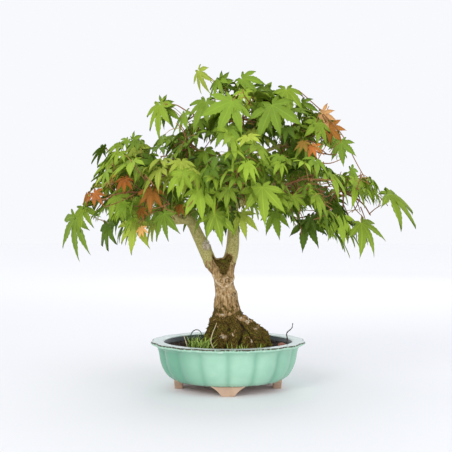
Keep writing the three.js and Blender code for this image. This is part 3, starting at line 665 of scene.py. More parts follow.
ROOTS = [  # bearing in degrees, reach past the trunk's foot, thickness
    (-6, 0.94, 6), (-34, 0.94, 5), (-62, 1.0, 6), (-98, 1.0, 7), (-138, 0.96, 5),
    (-172, 1.0, 6.5), (150, 1.0, 5), (95, 1.0, 6), (45, 0.96, 5),
]
SADDLE = [(-15, 0, 120), (-7, 0, 122.5), (1, 0, 121)]
SADDLE_RADIUS = 7.4
print(len(LIMBS), "limbs and boughs, and", len(ROOTS), "roots")

# %% Shapes of trunk and roots
TRUNK_SIDES = 64


def trunk_tube():
    corners = []
    for lean, half_width, half_depth, height in smooth_path(TRUNK_STATIONS, 44):
        slim = 0.97 - 0.1 * float(smoothstep(84, 62, height))
        half_depth *= 1 - 0.25 * float(smoothstep(106, FORK_LEVEL, height))
        for turn in turns_round(TRUNK_SIDES):
            corners.append((lean + half_width * math.cos(turn) * slim,
                            half_depth * math.sin(turn) * slim, height))
    return closed_rings(corners, TRUNK_SIDES)


def root_tube(bearing, reach, thickness):
    """A surface root that runs down the trunk's flare and dips into the soil."""
    across, deep = math.cos(math.radians(bearing)), math.sin(math.radians(bearing))
    route = []
    for lean, half_width, half_depth, height in TRUNK_STATIONS[5::-1]:
        inward = 0.74 + 0.16 * (1 - (height - SOIL_LEVEL) / 44)
        route.append((lean + across * half_width * inward * reach,
                      deep * half_depth * inward * reach, height))
    path = smooth_path(route, 20)
    return tube(path, np.linspace(0.35, 1, len(path)) * thickness, 12)


# %% Melt the wood into one skin
VOXEL = 0.85
wood = new_piece("trunk_and_boughs", [
    trunk_tube(), tapered_tube(SADDLE, 12, (SADDLE_RADIUS, SADDLE_RADIUS), 20),
    *[root_tube(*root) for root in ROOTS],
    *[tapered_tube(route, 20, radii, 16) for route, radii in LIMBS.values()],
], BARK)
melt = wood.modifiers.new("melt", "REMESH")
melt.mode = "VOXEL"
melt.voxel_size = VOXEL * MM
melt.use_smooth_shade = True
rounding = wood.modifiers.new("rounding", "SMOOTH")
rounding.factor = 0.5
rounding.iterations = 6
bake_modifiers(wood)
print("melted wood:", len(wood.data.vertices), "corners")

# %% [markdown]
# Where the two limbs part, the trunk has a shallow mossy hollow that narrows downward, a
# raised lip of healing wood round its lower end, and two round calluses between. The left
# limb has a pale scar and, at its bend, a knot. Crevices part the roots. Each is a small
# bump or dent that fades out with distance, and acts only on the side where it lies. The
# hollow, the line beside the lip, the clefts in the calluses and the crevices are darkened
# with painted shade.

# %% Scars, hollow and crevices
HOLLOW_TOP, HOLLOW_TIP = 131, 112
HEALING_LIP = [(-14, 113), (-10, 105), (-4, 100.5), (2, 104), (6, 112)]
CALLUSES = [(-6.4, 107, 2.9), (-0.6, 107.4, 3.2), (-44, 171, 3.2), (6, 94, 3)]
SCAR = (-21.5, 142.5)
HOLLOW_DEPTH, CLEFT_DEPTH, CREVICE_DEPTH = 1.6, 1.0, 2.2
LIP_HEIGHT, CALLUS_HEIGHT = 1.9, 1.2
BARE_PATCHES = [  # middle and reach, in the front view
    (-5, 54, 6, 3.2), (4, 57, 3, 2), (20, 68, 5, 3.4), (13, 71, 4, 2.4), (28, 61, 5, 2.4),
    (-6, 74, 7, 1.8), (22, 50, 3, 4),
]
CREVICES = [
    [(9, 71), (13, 63), (20, 56), (26, 49), (30, 43)], [(-13, 62), (-15, 52), (-19, 43)],
    [(14, 60), (13, 50), (11, 43)], [(-2, 64), (0, 52), (-2, 43)],
]
print(len(CALLUSES), "calluses,", len(BARE_PATCHES), "bare patches,", len(CREVICES), "crevices")


# %% Distance and noise
def distance_to_line(x, z, line):
    """Least distance from each point to a bent line in the front view."""
    best = np.full(len(x), 1e9)
    for (x0, z0), (x1, z1) in zip(line, line[1:]):
        run, rise = x1 - x0, z1 - z0
        share = np.clip(((x - x0) * run + (z - z0) * rise) / (run ** 2 + rise ** 2), 0, 1)
        best = np.minimum(best, np.hypot(x - x0 - share * run, z - z0 - share * rise))
    return best


def field(points, size, octaves, stretch=1.0):
    """Fractal noise at each point, from about -1 to 1, with lumps of a given size."""
    return np.array([
        noise.fractal(Vector((x / size, y / size, z / (size * stretch))), 0.9, 2.1, octaves)
        for x, y, z in points
    ])


# %% Bark relief
def carve_bark(wood):
    """Pushes the skin out or in, and paints it. What it gives back is the weight of moss."""
    places, normals = of_corners(wood, "co") / MM, of_corners(wood, "normal")
    x, z = places[:, 0], places[:, 2]
    front = smoothstep(0.1, -0.5, normals[:, 1])
    lumps, knobs = field(places, 6, 4), field(places + 50, 3, 4)
    swells, streaks = field(places + 90, 11, 2), field(places, 1.5, 3, stretch=5)
    old, foot = smoothstep(150, 105, z), smoothstep(84, 66, z)
    push = 0.5 * old * lumps + 0.25 * streaks * (0.4 + 0.6 * old)
    push += foot * (1.6 * swells + 1.2 * lumps + 1.5 * knobs - 1.0)

    middle_x = np.interp(z, [HOLLOW_TIP, HOLLOW_TOP], [-3.6, -5.2]) + 1.5 * knobs
    half_width = np.interp(z, [HOLLOW_TIP, HOLLOW_TOP], [3.6, 11])
    hollow = front * smoothstep(1.5, -2.5, np.abs(x - middle_x) - half_width)
    hollow *= smoothstep(HOLLOW_TIP - 2, HOLLOW_TIP + 3, z) * smoothstep(137, HOLLOW_TOP, z)
    push -= HOLLOW_DEPTH * hollow * (1 + 0.6 * knobs)
    from_lip = distance_to_line(x, z, HEALING_LIP)
    lip, beside_lip = front * bell(from_lip, 1.5), front * bell(from_lip - 3, 0.9)
    push += LIP_HEIGHT * lip
    flaked = np.maximum(0.44 * smoothstep(125, 108, z) * smoothstep(78, 92, z), 0.62 * lip)
    # dark is painted shade: in the hollow, beside the healing lip, in the clefts of the
    # calluses, in the crevices and between the knobs of the foot
    pale, dark = 0.42 * lip, np.maximum(0.37 * hollow, 0.4 * beside_lip)
    for callus_x, callus_z, radius in CALLUSES:
        away = np.hypot(x - callus_x, z - callus_z)
        ring = front * bell(away - radius, 0.9)
        cleft = front * bell(away - 0.6 * radius, 0.6) * smoothstep(-0.9, 0.3, knobs)
        push += CALLUS_HEIGHT * ring - CLEFT_DEPTH * cleft
        flaked, pale = np.maximum(flaked, 0.5 * ring), np.maximum(pale, 0.38 * ring)
        dark = np.maximum(dark, 0.7 * cleft)
    scar = bell(x - SCAR[0], 5) * bell(z - SCAR[1], 6.4)
    scar *= smoothstep(-0.5, 0.3, normals[:, 0] - normals[:, 1])
    push += scar * (1.0 + 1.6 * field(places, 1.8, 3))
    pale = np.maximum(pale, 0.95 * scar)
    for line in CREVICES:
        cleft = front * bell(distance_to_line(x + 1.2 * knobs, z, line), 1.3)
        push -= CREVICE_DEPTH * cleft
        dark = np.maximum(dark, 0.75 * cleft)
    # The dents between the knobs of the foot get painted shade, and the knobs keep less moss, so
    # that their tops show lighter bark as painted light
    dark = np.maximum(dark, 0.5 * foot * smoothstep(0.1, 0.7, -knobs))
    moss = smoothstep(101, 57, z + 8 * lumps) - 0.45 * foot * smoothstep(0.2, 0.7, knobs)
    for patch_x, patch_z, wide, high in BARE_PATCHES:
        bare = front * bell(x - patch_x, wide) * bell(z - patch_z, high)
        pale, moss = np.maximum(pale, 0.55 * bare), moss - 0.6 * bare
    wood.data.vertices.foreach_set("co", ((places + normals * push[:, None]) * MM).ravel())
    wood.data.update()
    for name, amount in (
        ("flaked", flaked), ("green", smoothstep(108, 142, z + 6 * lumps) * (1 - hollow)),
        ("moss", np.maximum(0.25 + 0.55 * moss, 0.72 * hollow) * (moss + hollow > 0.02)),
        ("fresh", np.maximum(0.46 * smoothstep(0.5, 1, moss), 0.36 * hollow)),
        ("pale", pale), ("dark", dark),
    ):
        paint(wood, name, amount)
    return moss


moss_on_wood = carve_bark(wood)
settle(wood, "bark", "trunk", *LIMBS)

# %% [markdown]
# ## Moss and small things on the soil
# Moss is a felt of shoots 1 to 3 mm tall. On the trunk it needs real shoots only along the
# outline, so a few thousand tiny spikes stand on the mossy part of the bark. The tuft at
# the left is grass: short blades in its shade, and fewer bright ones that stand up into
# the light. Each blade is a narrow bent strip.

# %% Blades and tufts
def plain_colour(name, shades, grain_mm, roughness):
    """A matte natural stuff, whose clouds also give it a fine bump."""
    return natural_stuff(
        name, shades, {"clouds": (grain_mm, 5)}, bump=("clouds", 0.4, 0.1 * grain_mm),
        Roughness=roughness, Specular_IOR_Level=DULL)


FRESH_MOSS = plain_colour("fresh_moss", ("#6C961E", "#CFE47C"), 2.5, 0.8)
SHADED_GRASS = plain_colour("shaded_grass", ("#182606", "#48681A"), 2.5, 0.9)
TUFT_FOOT, TUFT_RADIUS = (-29, -25), 11
LOOP = [(-36, -22, 42), (-36, -23, 56), (-31, -24, 61), (-26, -24, 58), (-25, -24, 48)]


def blade(root, tip, width, bend):
    """A narrow bent strip from root to tip."""
    middle = (root + tip) / 2 + bend
    side = np.cross(tip - root, [0.3, 1, 0.2])
    side *= width / 2 / max(np.linalg.norm(side), 1e-6)
    corners = [root - side, root + side, middle - 0.8 * side, middle + 0.8 * side, tip]
    return corners, [(0, 1, 3, 2), (2, 3, 4)]


def build_tuft(name, material, count, shortest, longest):
    dice = random.Random(count)
    blades = []
    for _ in range(count):
        turn, share = dice.uniform(0, FULL_TURN), math.sqrt(dice.random())
        out = np.array([math.cos(turn), math.sin(turn), 0.0])
        root = np.array([*TUFT_FOOT, 0.0]) + out * share * TUFT_RADIUS * 0.9
        root[2] = soil_height(root[0], root[1]) - 0.5
        length = dice.uniform(shortest, longest) * (1.1 - 0.5 * share)
        lean = np.array([dice.gauss(0.1, 0.35), dice.gauss(0, 0.4), 1]) + 0.3 * share * out
        bend = np.array([dice.gauss(0, 0.22), dice.gauss(0, 0.22), 0.1]) * length
        blades.append(blade(root, root + length * lean, dice.uniform(0.35, 0.8), bend))
    blades.append(tapered_tube(LOOP, 16, (0.6, 0.3), 6))
    settle(new_piece(name, blades, material), "moss", "moss_tuft")


build_tuft("tuft_in_shade", SHADED_GRASS, 210, 4, 12)
build_tuft("grassy_tuft", FRESH_MOSS, 74, 9, 21)

# %% Sprouts, moss on the trunk, straws
DAMP_MOSS = plain_colour("damp_moss", ("#2A2208", "#70651E"), 2, 0.95)
STRAW = plain_colour("dry_straw", ("#B9A77A", "#E2D8B4"), 2, 0.7)
SPROUTS, MOSS_SHOOTS, THICK_MOSS = 30, 2600, 0.62
STRAWS = [
    [(-13, -29, 42), (-16.5, -30, 50), (-15, -30, 58), (-12.5, -29, 64), (-11, -28, 68)],
    [(-39, -22, 42), (-41, -22, 49), (-43, -22, 55)],
]


def build_sprouts():
    dice = random.Random(3)
    blades = []
    for _ in range(SPROUTS):
        x, y = dice.choice([4, 12, 16, 27]) + dice.gauss(0, 2), dice.uniform(-36, -31)
        root = np.array([x, y, soil_height(x, y) - 0.4])
        tip = root + np.array([dice.gauss(0, 2), dice.gauss(0, 1), dice.uniform(2, 9)])
        blades.append(blade(root, tip, dice.uniform(0.4, 0.9), np.array([0.4, 0, 0.3])))
    settle(new_piece("small_sprouts", blades, FRESH_MOSS), "moss")


def build_trunk_moss():
    """Short shoots along the normals of the mossy bark."""
    dice = random.Random(21)
    places, normals = of_corners(wood, "co") / MM, of_corners(wood, "normal")
    mossy = np.flatnonzero((moss_on_wood > THICK_MOSS) & (field(places + 20, 5, 3) > -0.05)
                           & (places[:, 2] > SOIL_LEVEL + 1))
    shoots = []
    for index in dice.sample(list(mossy), min(MOSS_SHOOTS, len(mossy))):
        way = normals[index] + np.array([dice.gauss(0, 0.35) for _ in range(3)])
        root = places[index] - 0.3 * normals[index]
        shoots.append(blade(root, root + way * dice.uniform(0.5, 1.5), 0.6, 0))
    settle(new_piece("trunk_moss", shoots, DAMP_MOSS), "moss")


build_sprouts()
build_trunk_moss()
straws = [tapered_tube(line, 16, (0.6, 0.25), 6) for line in STRAWS]
settle(new_piece("straw_strands", straws, STRAW), "moss")

# %% [markdown]
# The pebble is a lump of reddish clay, and the dry stalk a dead twig, thin as wire. Both
# keep the place that the frame gives them.

# %% Pebble and dry stalk
RED_CLAY = plain_colour("red_clay_pebble", ("#6E3F33", "#B0796A"), 1.6, 0.75)
DEAD_WOOD = plain_colour("dead_wood", ("#2C2824", "#5E5750"), 1.2, 0.85)
STALK_ROUTE = [(58, 2, 41.3), (59.5, 2, 48), (59, 2, 54), (64, 2, 59), (65, 2, 64)]
KNUCKLE, KNUCKLE_STEP = 0.18, 1.7

low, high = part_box("pebble")
middle, half = (low + high) / 2 / MM, (high - low) / 2 / MM
pebble = lump(middle, half * 0.98, 0.25, 4.2, detail=4)
settle(new_piece("pebble_lump", [pebble], RED_CLAY), "pebble", "pebble")

path = smooth_path(STALK_ROUTE, 28)
thickness = np.linspace(0.75, 0.4, len(path))
thickness *= 1 + KNUCKLE * np.sin(np.arange(len(path)) * KNUCKLE_STEP)
stalk = new_piece("dry_stalk_twig", [tube(path, thickness, 10)], DEAD_WOOD)
settle(stalk, "bark", "dry_stalk")

# %% [markdown]
# ## Foliage: where the twigs and leaves go
# The crown is eleven masses of foliage. Each fills an ellipsoid at the tip of its bough and
# keeps to its own side of the flat faces that part it from its neighbours, as in the frame.
# One stem enters, parts into twigs that reach evenly through the space, and those part into
# finer ones. Leaves hang from them on thin stalks. The frame's few large leaves become many
# of the true size here.

# %% Masses of the crown
MASSES = {  # middle, half size, limb that carries it, leaves
    "foliage_apex": ((18, 0, 272), (60, 62, 42), "leader_top", 52),
    "foliage_upper_left": ((-42, -4, 238), (42, 60, 46), "bough_upper_left", 38),
    "foliage_upper_right": ((80, -4, 246), (50, 62, 44), "bough_upper_right", 44),
    "foliage_left_outer": ((-114, 6, 194), (42, 58, 54), "limb_left_outer", 42),
    "foliage_left_front": ((-76, -56, 198), (54, 54, 48), "bough_left_front", 40),
    "foliage_left_back": ((-74, 62, 196), (56, 54, 48), "bough_left_back", 38),
    "foliage_front": ((4, -76, 200), (50, 50, 52), "bough_front", 40),
    "foliage_back": ((2, 75, 206), (56, 48, 54), "bough_back", 40),
    "foliage_right_outer": ((120, -8, 188), (42, 58, 46), "bough_right", 42),
    "foliage_right_front": ((70, -60, 194), (56, 54, 50), "bough_right_front", 42),
    "foliage_right_back": ((76, 62, 198), (58, 54, 50), "bough_right_back", 38),
}
CENTRES = np.array([middle for middle, *_ in MASSES.values()], dtype=float)
HALVES = np.array([half for _, half, *_ in MASSES.values()], dtype=float)
REACHES = HALVES.mean(axis=1)
OWN_SIDE_MARGIN = 0.8
GOLDEN_ANGLE = math.pi * (3 - math.sqrt(5))
LIMB_STEPS = 24
LIMB_POINTS = np.concatenate([smooth_path(route, LIMB_STEPS) for route, _ in LIMBS.values()])
LIMB_RADII = np.concatenate([np.linspace(*ends, LIMB_STEPS + 1) for _, ends in LIMBS.values()])


def unit(vector):
    return vector / np.linalg.norm(vector)


def distance_powers(point):
    """For each mass, how far a point is from it: the least one is the mass that it is in."""
    return ((CENTRES - point) ** 2).sum(1) - REACHES ** 2


def keeps_own_side(index, point):
    powers = distance_powers(point)
    apart = np.linalg.norm(CENTRES - CENTRES[index], axis=1)
    apart[index] = 1
    clear = (powers - powers[index]) / (2 * apart)
    clear[index] = OWN_SIDE_MARGIN + 1
    return bool((clear > OWN_SIDE_MARGIN).all())


def clear_of_limbs(point, room):
    return bool((np.linalg.norm(LIMB_POINTS - point, axis=1) - LIMB_RADII > room).all())


def spread_direction(index, count):
    """Evenly spread directions over a sphere."""
    height = 1 - 2 * (index + 0.5) / count
    ring = math.sqrt(1 - height * height)
    turn = index * GOLDEN_ANGLE
    return np.array([math.cos(turn) * ring, math.sin(turn) * ring, height])


print("crown:", len(MASSES), "masses on", len(LIMBS), "limbs")

# %% Twigs of one mass
TWIGS_PER_MASS, SIDE_TWIGS = 7, 3
TWIG_REACH, SIDE_REACH = 0.62, 0.36
TWIG_RADII, SIDE_RADII = (0.95, 0.55), (0.6, 0.35)
SIDE_ROOM, SIDE_WAYS = 2, 40
ELBOW_LENGTH, HEART_SHARE = 6, 0.7


def grow_twigs(index, dice):
    """Straight twigs of one mass as (start, end, radius at the start, at the end)."""
    _, _, limb, _ = list(MASSES.values())[index]
    centre, half = CENTRES[index], HALVES[index]
    route, (_, radius) = LIMBS[limb]
    path = smooth_path(route, 12)
    heading = unit(path[-1] - path[-2])
    foot = path[-1] - heading
    elbow, heart = foot + ELBOW_LENGTH * heading, foot + HEART_SHARE * (centre - foot)
    twigs = [(foot, elbow, radius, radius * 0.9), (elbow, heart, radius * 0.9, 1.0)]
    for i in range(TWIGS_PER_MASS):
        end = centre + TWIG_REACH * spread_direction(i, TWIGS_PER_MASS) * half
        start = elbow + (heart - elbow) * (0.4 + 0.6 * (i + 1) / TWIGS_PER_MASS)
        if not keeps_own_side(index, end):
            end = start + 0.6 * (end - start)
        if not keeps_own_side(index, end):
            continue
        twigs.append((start, end, *TWIG_RADII))
        for j in range(SIDE_TWIGS):
            root = start + (end - start) * (0.35 + 0.3 * j)
            way = spread_direction(dice.randrange(SIDE_WAYS), SIDE_WAYS) * half * SIDE_REACH
            tip = end + (root - end) * 0.3 + way
            if keeps_own_side(index, tip) and clear_of_limbs(tip, SIDE_ROOM):
                twigs.append((root, tip, *SIDE_RADII))
    return twigs


def nearest_on_twigs(twigs, hub):
    """The place on these twigs for a stalk, a little nearer to the trunk than the hub, with
    the twig's number and how far away it is."""
    best, best_twig, least = None, 0, 1e9
    for number, (start, end, *_radii) in enumerate(twigs):
        run = end - start
        share = float(np.clip((hub - start) @ run / (run @ run) - 0.12, 0.15, 1))
        place = start + share * run
        away = np.linalg.norm(place - hub)
        if away < least:
            best, best_twig, least = place, number, away
    return best, best_twig, least


# %% [markdown]
# ## One leaf
# A leaf of this maple is a fan of seven long pointed lobes with toothed edges. The middle
# lobe is longest, and the two at the stalk are small. Each lobe folds a little along its
# vein and its tip hangs. The leaf is drawn once, lying flat, as strips from vein to edge,
# and each copy is then bent in its own way.

# %% Shape of a leaf
LOBE_ANGLES = (-122, -80, -40, 0, 40, 80, 122)
LOBE_REACH = (0.32, 0.68, 0.93, 1.0, 0.93, 0.68, 0.32)
LOBE_HALF_WIDTH, LOBE_SWELL = 0.145, 3.55
LOBE_ROWS = 12
TOOTH, FOLD_HEIGHT = 0.13, 0.14
SINUS_REACH = (0.1, 0.19, 0.25, 0.25, 0.25, 0.25, 0.19, 0.1)
LEAF_BASE_ANGLE = 152


def leaf_pattern():
    """Corners as (across, along, side of the vein, lobe) and triangles of a flat leaf."""
    corners, faces = [(0, 0, 0, 3)], []
    between = [(a + b) / 2 for a, b in zip(LOBE_ANGLES, LOBE_ANGLES[1:])]
    sinuses = zip([-LEAF_BASE_ANGLE, *between, LEAF_BASE_ANGLE], SINUS_REACH)
    for i, (angle, reach) in enumerate(sinuses):
        turn = math.radians(angle)
        corners.append((reach * math.sin(turn), reach * math.cos(turn), 1, min(i, 6)))
    for lobe, (angle, reach) in enumerate(zip(LOBE_ANGLES, LOBE_REACH)):
        turn = math.radians(angle)
        along = np.array([math.sin(turn), math.cos(turn)])
        across = np.array([math.cos(turn), -math.sin(turn)])
        left, right = 1 + lobe, 2 + lobe
        start = min(max(SINUS_REACH), 0.6 * reach)
        previous = (left, len(corners), right)
        corners.append((*(along * start * 0.8), 0, lobe))
        faces += [(0, previous[1], left), (0, right, previous[1])]
        for row in range(1, LOBE_ROWS):
            t = row / LOBE_ROWS
            place = along * (start + (reach - start) * t)
            width = LOBE_HALF_WIDTH * reach * LOBE_SWELL * (t + 0.1) ** 0.8 * (1 - t) ** 1.5
            width *= 1 + (TOOTH if row % 2 else -TOOTH * 0.5)
            count = len(corners)
            corners.append((*(place - across * width), 1, lobe))
            corners.append((*place, 0, lobe))
            corners.append((*(place + across * width), 1, lobe))
            row_now = (count, count + 1, count + 2)
            for side in (0, 1):
                a, b = previous[side:side + 2]
                d, c = row_now[side:side + 2]
                faces += [(a, b, c), (a, c, d)]
            previous = row_now
        tip = len(corners)
        corners.append((*(along * reach), 0, lobe))
        faces += [(previous[0], previous[1], tip), (previous[1], previous[2], tip)]
    return np.array(corners, dtype=float), faces


LEAF_CORNERS, LEAF_FACES = leaf_pattern()
print("one leaf:", len(LEAF_CORNERS), "corners,", len(LEAF_FACES), "faces")


# %% One leaf, bent
def bent_leaf(hub, pointing, facing, length, droop, fold, sag, dice):
    """One leaf in its place. The blade bends back by droop, its lobes fold up along their
    veins, and those that reach sideways sag under their own weight."""
    side = np.cross(pointing, facing)
    across, along, off_vein, lobe = LEAF_CORNERS.T
    reach = np.hypot(across, along)
    stretch, curl, sway = (
        np.array([dice.uniform(low, high) for _ in LOBE_ANGLES])[lobe.astype(int)]
        for low, high in ((0.86, 1.1), (0.4, 1.7), (-0.09, 0.09))
    )
    sway = sway * reach
    across, along = across + sway * along, along - sway * across
    grown = 1 + (stretch - 1) * smoothstep(0.2, 0.5, reach)
    height = -droop * curl * reach ** 2 + fold * off_vein * FOLD_HEIGHT * (1 - 0.4 * reach)
    places = (np.outer(across * grown, side) + np.outer(along * grown, pointing)
              + np.outer(height, facing))
    places[:, 2] -= sag * np.hypot(places[:, 0], places[:, 1]) * reach
    places[:, :2] *= (1 - 0.35 * sag * reach)[:, None]
    return hub + length * places


# %% [markdown]
# ## Leaves that stand out
# Some leaves give this tree its look: those round the outline, the large ones in front, and
# the few in autumn tints. They are placed one by one in the camera's picture, which has the
# photograph's 452 pixels, each at a depth where a twig can carry it.

# %% Camera: level with the lower crown, straight in front of the pot
CAMERA_PLACE = (-2, -750, 161.4)
CAMERA_LENS, CAMERA_SENSOR = 59.7, 36
PICTURE_WIDTH = 452
PIXELS_PER_SLOPE = CAMERA_LENS / CAMERA_SENSOR * PICTURE_WIDTH


def seen_at(pixel_x, pixel_y, depth):
    """The place at this depth (y) that the camera sees at this pixel of its picture."""
    away = depth - CAMERA_PLACE[1]
    return np.array([
        CAMERA_PLACE[0] + (pixel_x - PICTURE_WIDTH / 2) * away / PIXELS_PER_SLOPE, depth,
        CAMERA_PLACE[2] - (pixel_y - PICTURE_WIDTH / 2) * away / PIXELS_PER_SLOPE,
    ])


def pixel_of(place):
    """Where the camera sees a place, as pixels of its picture."""
    slope = PIXELS_PER_SLOPE / (place[1] - CAMERA_PLACE[1])
    return (PICTURE_WIDTH / 2 + (place[0] - CAMERA_PLACE[0]) * slope,
            PICTURE_WIDTH / 2 - (place[2] - CAMERA_PLACE[2]) * slope)


print("the pot's rim ends at pixel", [round(v) for v in pixel_of((HALF, 0, POT_HEIGHT))])

# %% Leaves and twigs placed one by one
STANDING_OUT = [  # hub, tip of the middle lobe, their depths, turn in degrees, tint
    (199, 71, 205, 93, -6, -12, 60, "lime"), (219, 80, 210, 102, -14, -20, 45, "mid"),
    (221, 81, 236, 79, -16, -18, 55, "mid"), (242, 79, 262, 93, -4, -12, 25, "mid"),
    (286, 90, 292, 114, -14, -24, 0, "bright"), (302, 103, 311, 119, -8, -14, 50, "mid"),
    (160.5, 105, 157.5, 136, -8, -16, 35, "bright"),
    (185, 113.5, 176, 137, -20, -28, 45, "mid"), (206, 102, 191, 127, -36, -46, 25, "mid"),
    (232, 101, 218, 132, -52, -62, -24, "mid"), (272, 105, 283, 140, -52, -62, 30, "mid"),
    (228, 128, 228, 151, -48, -58, 0, "mid"), (316, 123, 317, 147, -44, -54, -22, "bright"),
    (105, 149, 90, 160, 0, -4, 72, "dark"), (133, 139.5, 146, 142, -14, -18, 60, "mid"),
    (137, 147, 133, 172, -40, -50, 20, "lime"), (115, 161, 93, 172, -30, -38, 20, "bright"),
    (162, 137, 152, 149, -30, -38, 40, "mid"), (125, 179, 124, 194, -54, -60, 0, "red"),
    (112, 180, 103, 186, -48, -52, 20, "bronze"), (119, 171, 108, 177, -44, -48, 30, "rust"),
    (154, 181, 167, 178, -52, -56, 30, "rust"), (152, 190, 148, 213, -62, -70, 10, "rust"),
    (94, 193, 104, 203, -36, -42, 10, "red"), (88, 194, 85, 206, -32, -36, 40, "rust"),
    (180, 206, 178, 218, -52, -56, 20, "rust"), (141, 209, 143, 220, -52, -56, 30, "rust"),
    (182, 172, 179, 198, -90, -94, 0, "bright"), (200, 190, 201, 219, -84, -96, 0, "bright"),
    (76, 217, 69, 257, 34, 38, 26, "mid"), (84, 207, 93, 229, 4, -4, 30, "bright"),
    (109, 224, 107, 252, 0, -6, 44, "dark"), (117, 197, 121, 221, -46, -54, 20, "bright"),
    (127, 208, 141, 218, -44, -50, 20, "mid"), (136, 222, 131, 251, -40, -48, 10, "lime"),
    (141, 228, 145, 237, -52, -56, 20, "orange"), (164, 214, 168, 244, -70, -78, 42, "mid"),
    (215, 214, 223, 240, -82, -92, 0, "bright"), (241, 214, 247, 240, -66, -74, 15, "lime"),
    (262, 187, 264, 221, -92, -104, 0, "bright"), (275, 212, 280, 237, -60, -68, 25, "mid"),
    (305, 222, 322, 249, -40, -48, 10, "dark"), (338, 217, 345, 245, -44, -52, 0, "bright"),
    (361, 223, 385, 248, -34, -44, -12, "bright"), (341, 142, 343, 164, -30, -38, 35, "mid"),
    (355, 180, 370, 209, -34, -42, -30, "bright"),
    (387, 195, 421, 222, -42, -50, -26, "bright"), (322, 114, 338, 119, -22, -28, 45, "copper"),
    (329, 127, 344, 141, -24, -30, 40, "rust"), (312, 146, 318, 158, -52, -58, 20, "red"),
    (304, 142, 298, 153, -52, -58, 30, "bronze"), (120, 145, 106, 154, -14, -20, 20, "bright"),
    (128, 140, 117, 151, -8, -12, 10, "mid"), (165, 108, 173, 131, -10, -16, 42, "mid"),
    (162, 104, 175, 98, -8, -12, 55, "mid"), (224, 84, 230, 99, -6, -10, 10, "mid"),
    (264, 87, 257, 102, 2, -4, 0, "mid"), (223, 172, 221, 188, -84, -90, 0, "mid"),
    (229, 189, 225, 208, -98, -104, 8, "bright"), (293, 196, 300, 214, -80, -88, 0, "bright"),
    (306, 186, 314, 201, -70, -76, 20, "mid"),
]
# Twigs that show in front: points in the picture from where each parts, depth, radius
SHOWN_TWIGS = [
    ([(283, 187), (296, 181), (311, 179), (326, 182)], -62, 1.0),
    ([(297, 181), (306, 176), (319, 174)], -62, 0.7),
    ([(326, 197), (334, 192), (345, 197)], -50, 0.7),
    ([(322, 113), (334, 125), (344, 138), (357, 164), (371, 187), (388, 206)], -30, 0.6),
    ([(298, 90), (305, 100), (311, 116)], -8, 0.6),
    ([(194, 115), (185, 110), (176, 105), (164, 104)], -16, 0.8),
    ([(164, 209), (151, 213), (138, 223)], -50, 0.6),
    ([(152, 203), (146, 214), (141, 225)], -48, 0.5),
    ([(221, 88), (212, 79), (203, 72)], -8, 0.5),
    ([(121, 161), (112, 153), (106, 149)], -4, 0.5),
]
print(len(STANDING_OUT), "leaves and", len(SHOWN_TWIGS), "twigs are placed by eye")

# %% [markdown]
# ## Growing the crown
# The other leaves follow a rule. Their hubs, where stalk and blade meet, are tried in the
# golden spread that fills a space evenly. One is kept where it leaves room for its
# neighbours and for the limbs, and where no lobe would close a window: a round place in the
# picture that stays free of leaves up to some depth, so that the sky shows, or a twig. The
# leaf hangs outward from the nearest twig, turned a little about its middle lobe. Each
# spray of leaves shares one tint.

# %% Tints
TINTS = {  # leaf colours, and how many sprays in a hundred get each
    "bright": ("#8AA430", 34), "mid": ("#78942C", 34), "lime": ("#A4B442", 12),
    "dark": ("#5C7820", 20), "bronze": ("#96742F", 0), "rust": ("#AE722C", 0),
    "red": ("#C07434", 0), "copper": ("#CC9C66", 0), "orange": ("#ECB468", 0),
}
TINTED_SPRAYS = [  # middle in the picture, depth, radius in mm, tint
    (120, 178, -45, 16, "rust"), (96, 199, -30, 10, "rust"), (148, 200, -55, 14, "rust"),
    (181, 207, -25, 10, "rust"), (325, 118, -15, 12, "bronze"), (310, 150, -40, 13, "bronze"),
    (345, 195, -35, 10, "bronze"), (116, 162, -10, 26, "lime"), (84, 212, 15, 22, "bright"),
    (132, 214, -40, 22, "bright"), (164, 160, -30, 20, "bright"), (322, 190, -70, 20, "bright"),
]


def spray_tint(hub, twig_number, mass_number):
    for pixel_x, pixel_y, depth, radius, tint in TINTED_SPRAYS:
        if np.linalg.norm(seen_at(pixel_x, pixel_y, depth) - hub) < radius:
            return tint
    dice = random.Random(1000 * mass_number + twig_number)
    return dice.choices(list(TINTS), [share for _, share in TINTS.values()])[0]


print(len(TINTS), "tints")

# %% Windows
SKY_GAPS = [  # between the sprays: middle and radius in the picture
    (166, 126, 5), (158, 156, 3), (213, 100, 5), (217, 146, 5), (204, 143, 4), (293, 122, 4),
    (332, 156, 4), (331, 183, 4), (357, 201, 8), (381, 207, 6), (99, 231, 5), (124, 240, 5),
    (182, 238, 9), (247, 210, 3), (254, 231, 6), (283, 219, 5), (324, 240, 6), (246, 117, 4),
    (183, 190, 3), (340, 168, 4), (210, 238, 6), (197, 146, 4), (174, 126, 4), (186, 119, 3),
    (326, 150, 5), (299, 215, 3), (309, 211, 4), (100, 216, 4), (362, 217, 6), (346, 252, 8),
    (283, 245, 6), (92, 262, 8),
]
AIR_AROUND = [
    (141, 128, 11), (190, 88, 10), (212, 68, 8), (183, 101, 5), (233, 66, 8), (264, 72, 8),
    (322, 92, 11), (345, 106, 14), (368, 138, 18), (385, 162, 18), (398, 178, 12),
    (400, 232, 12), (112, 131, 10), (86, 152, 14), (76, 183, 13), (66, 202, 12), (81, 245, 6),
]
FREE_VIEWS = [  # of twigs and tinted sprays, and the depth that is kept free up to
    (302, 180, 9, -30), (335, 194, 8, -25), (126, 184, 9, -40), (150, 198, 12, -50),
    (97, 197, 9, -28), (331, 122, 9, -20), (310, 150, 8, -45), (180, 209, 5, -40),
    (142, 230, 5, -44),
]
EVERY_DEPTH = 200
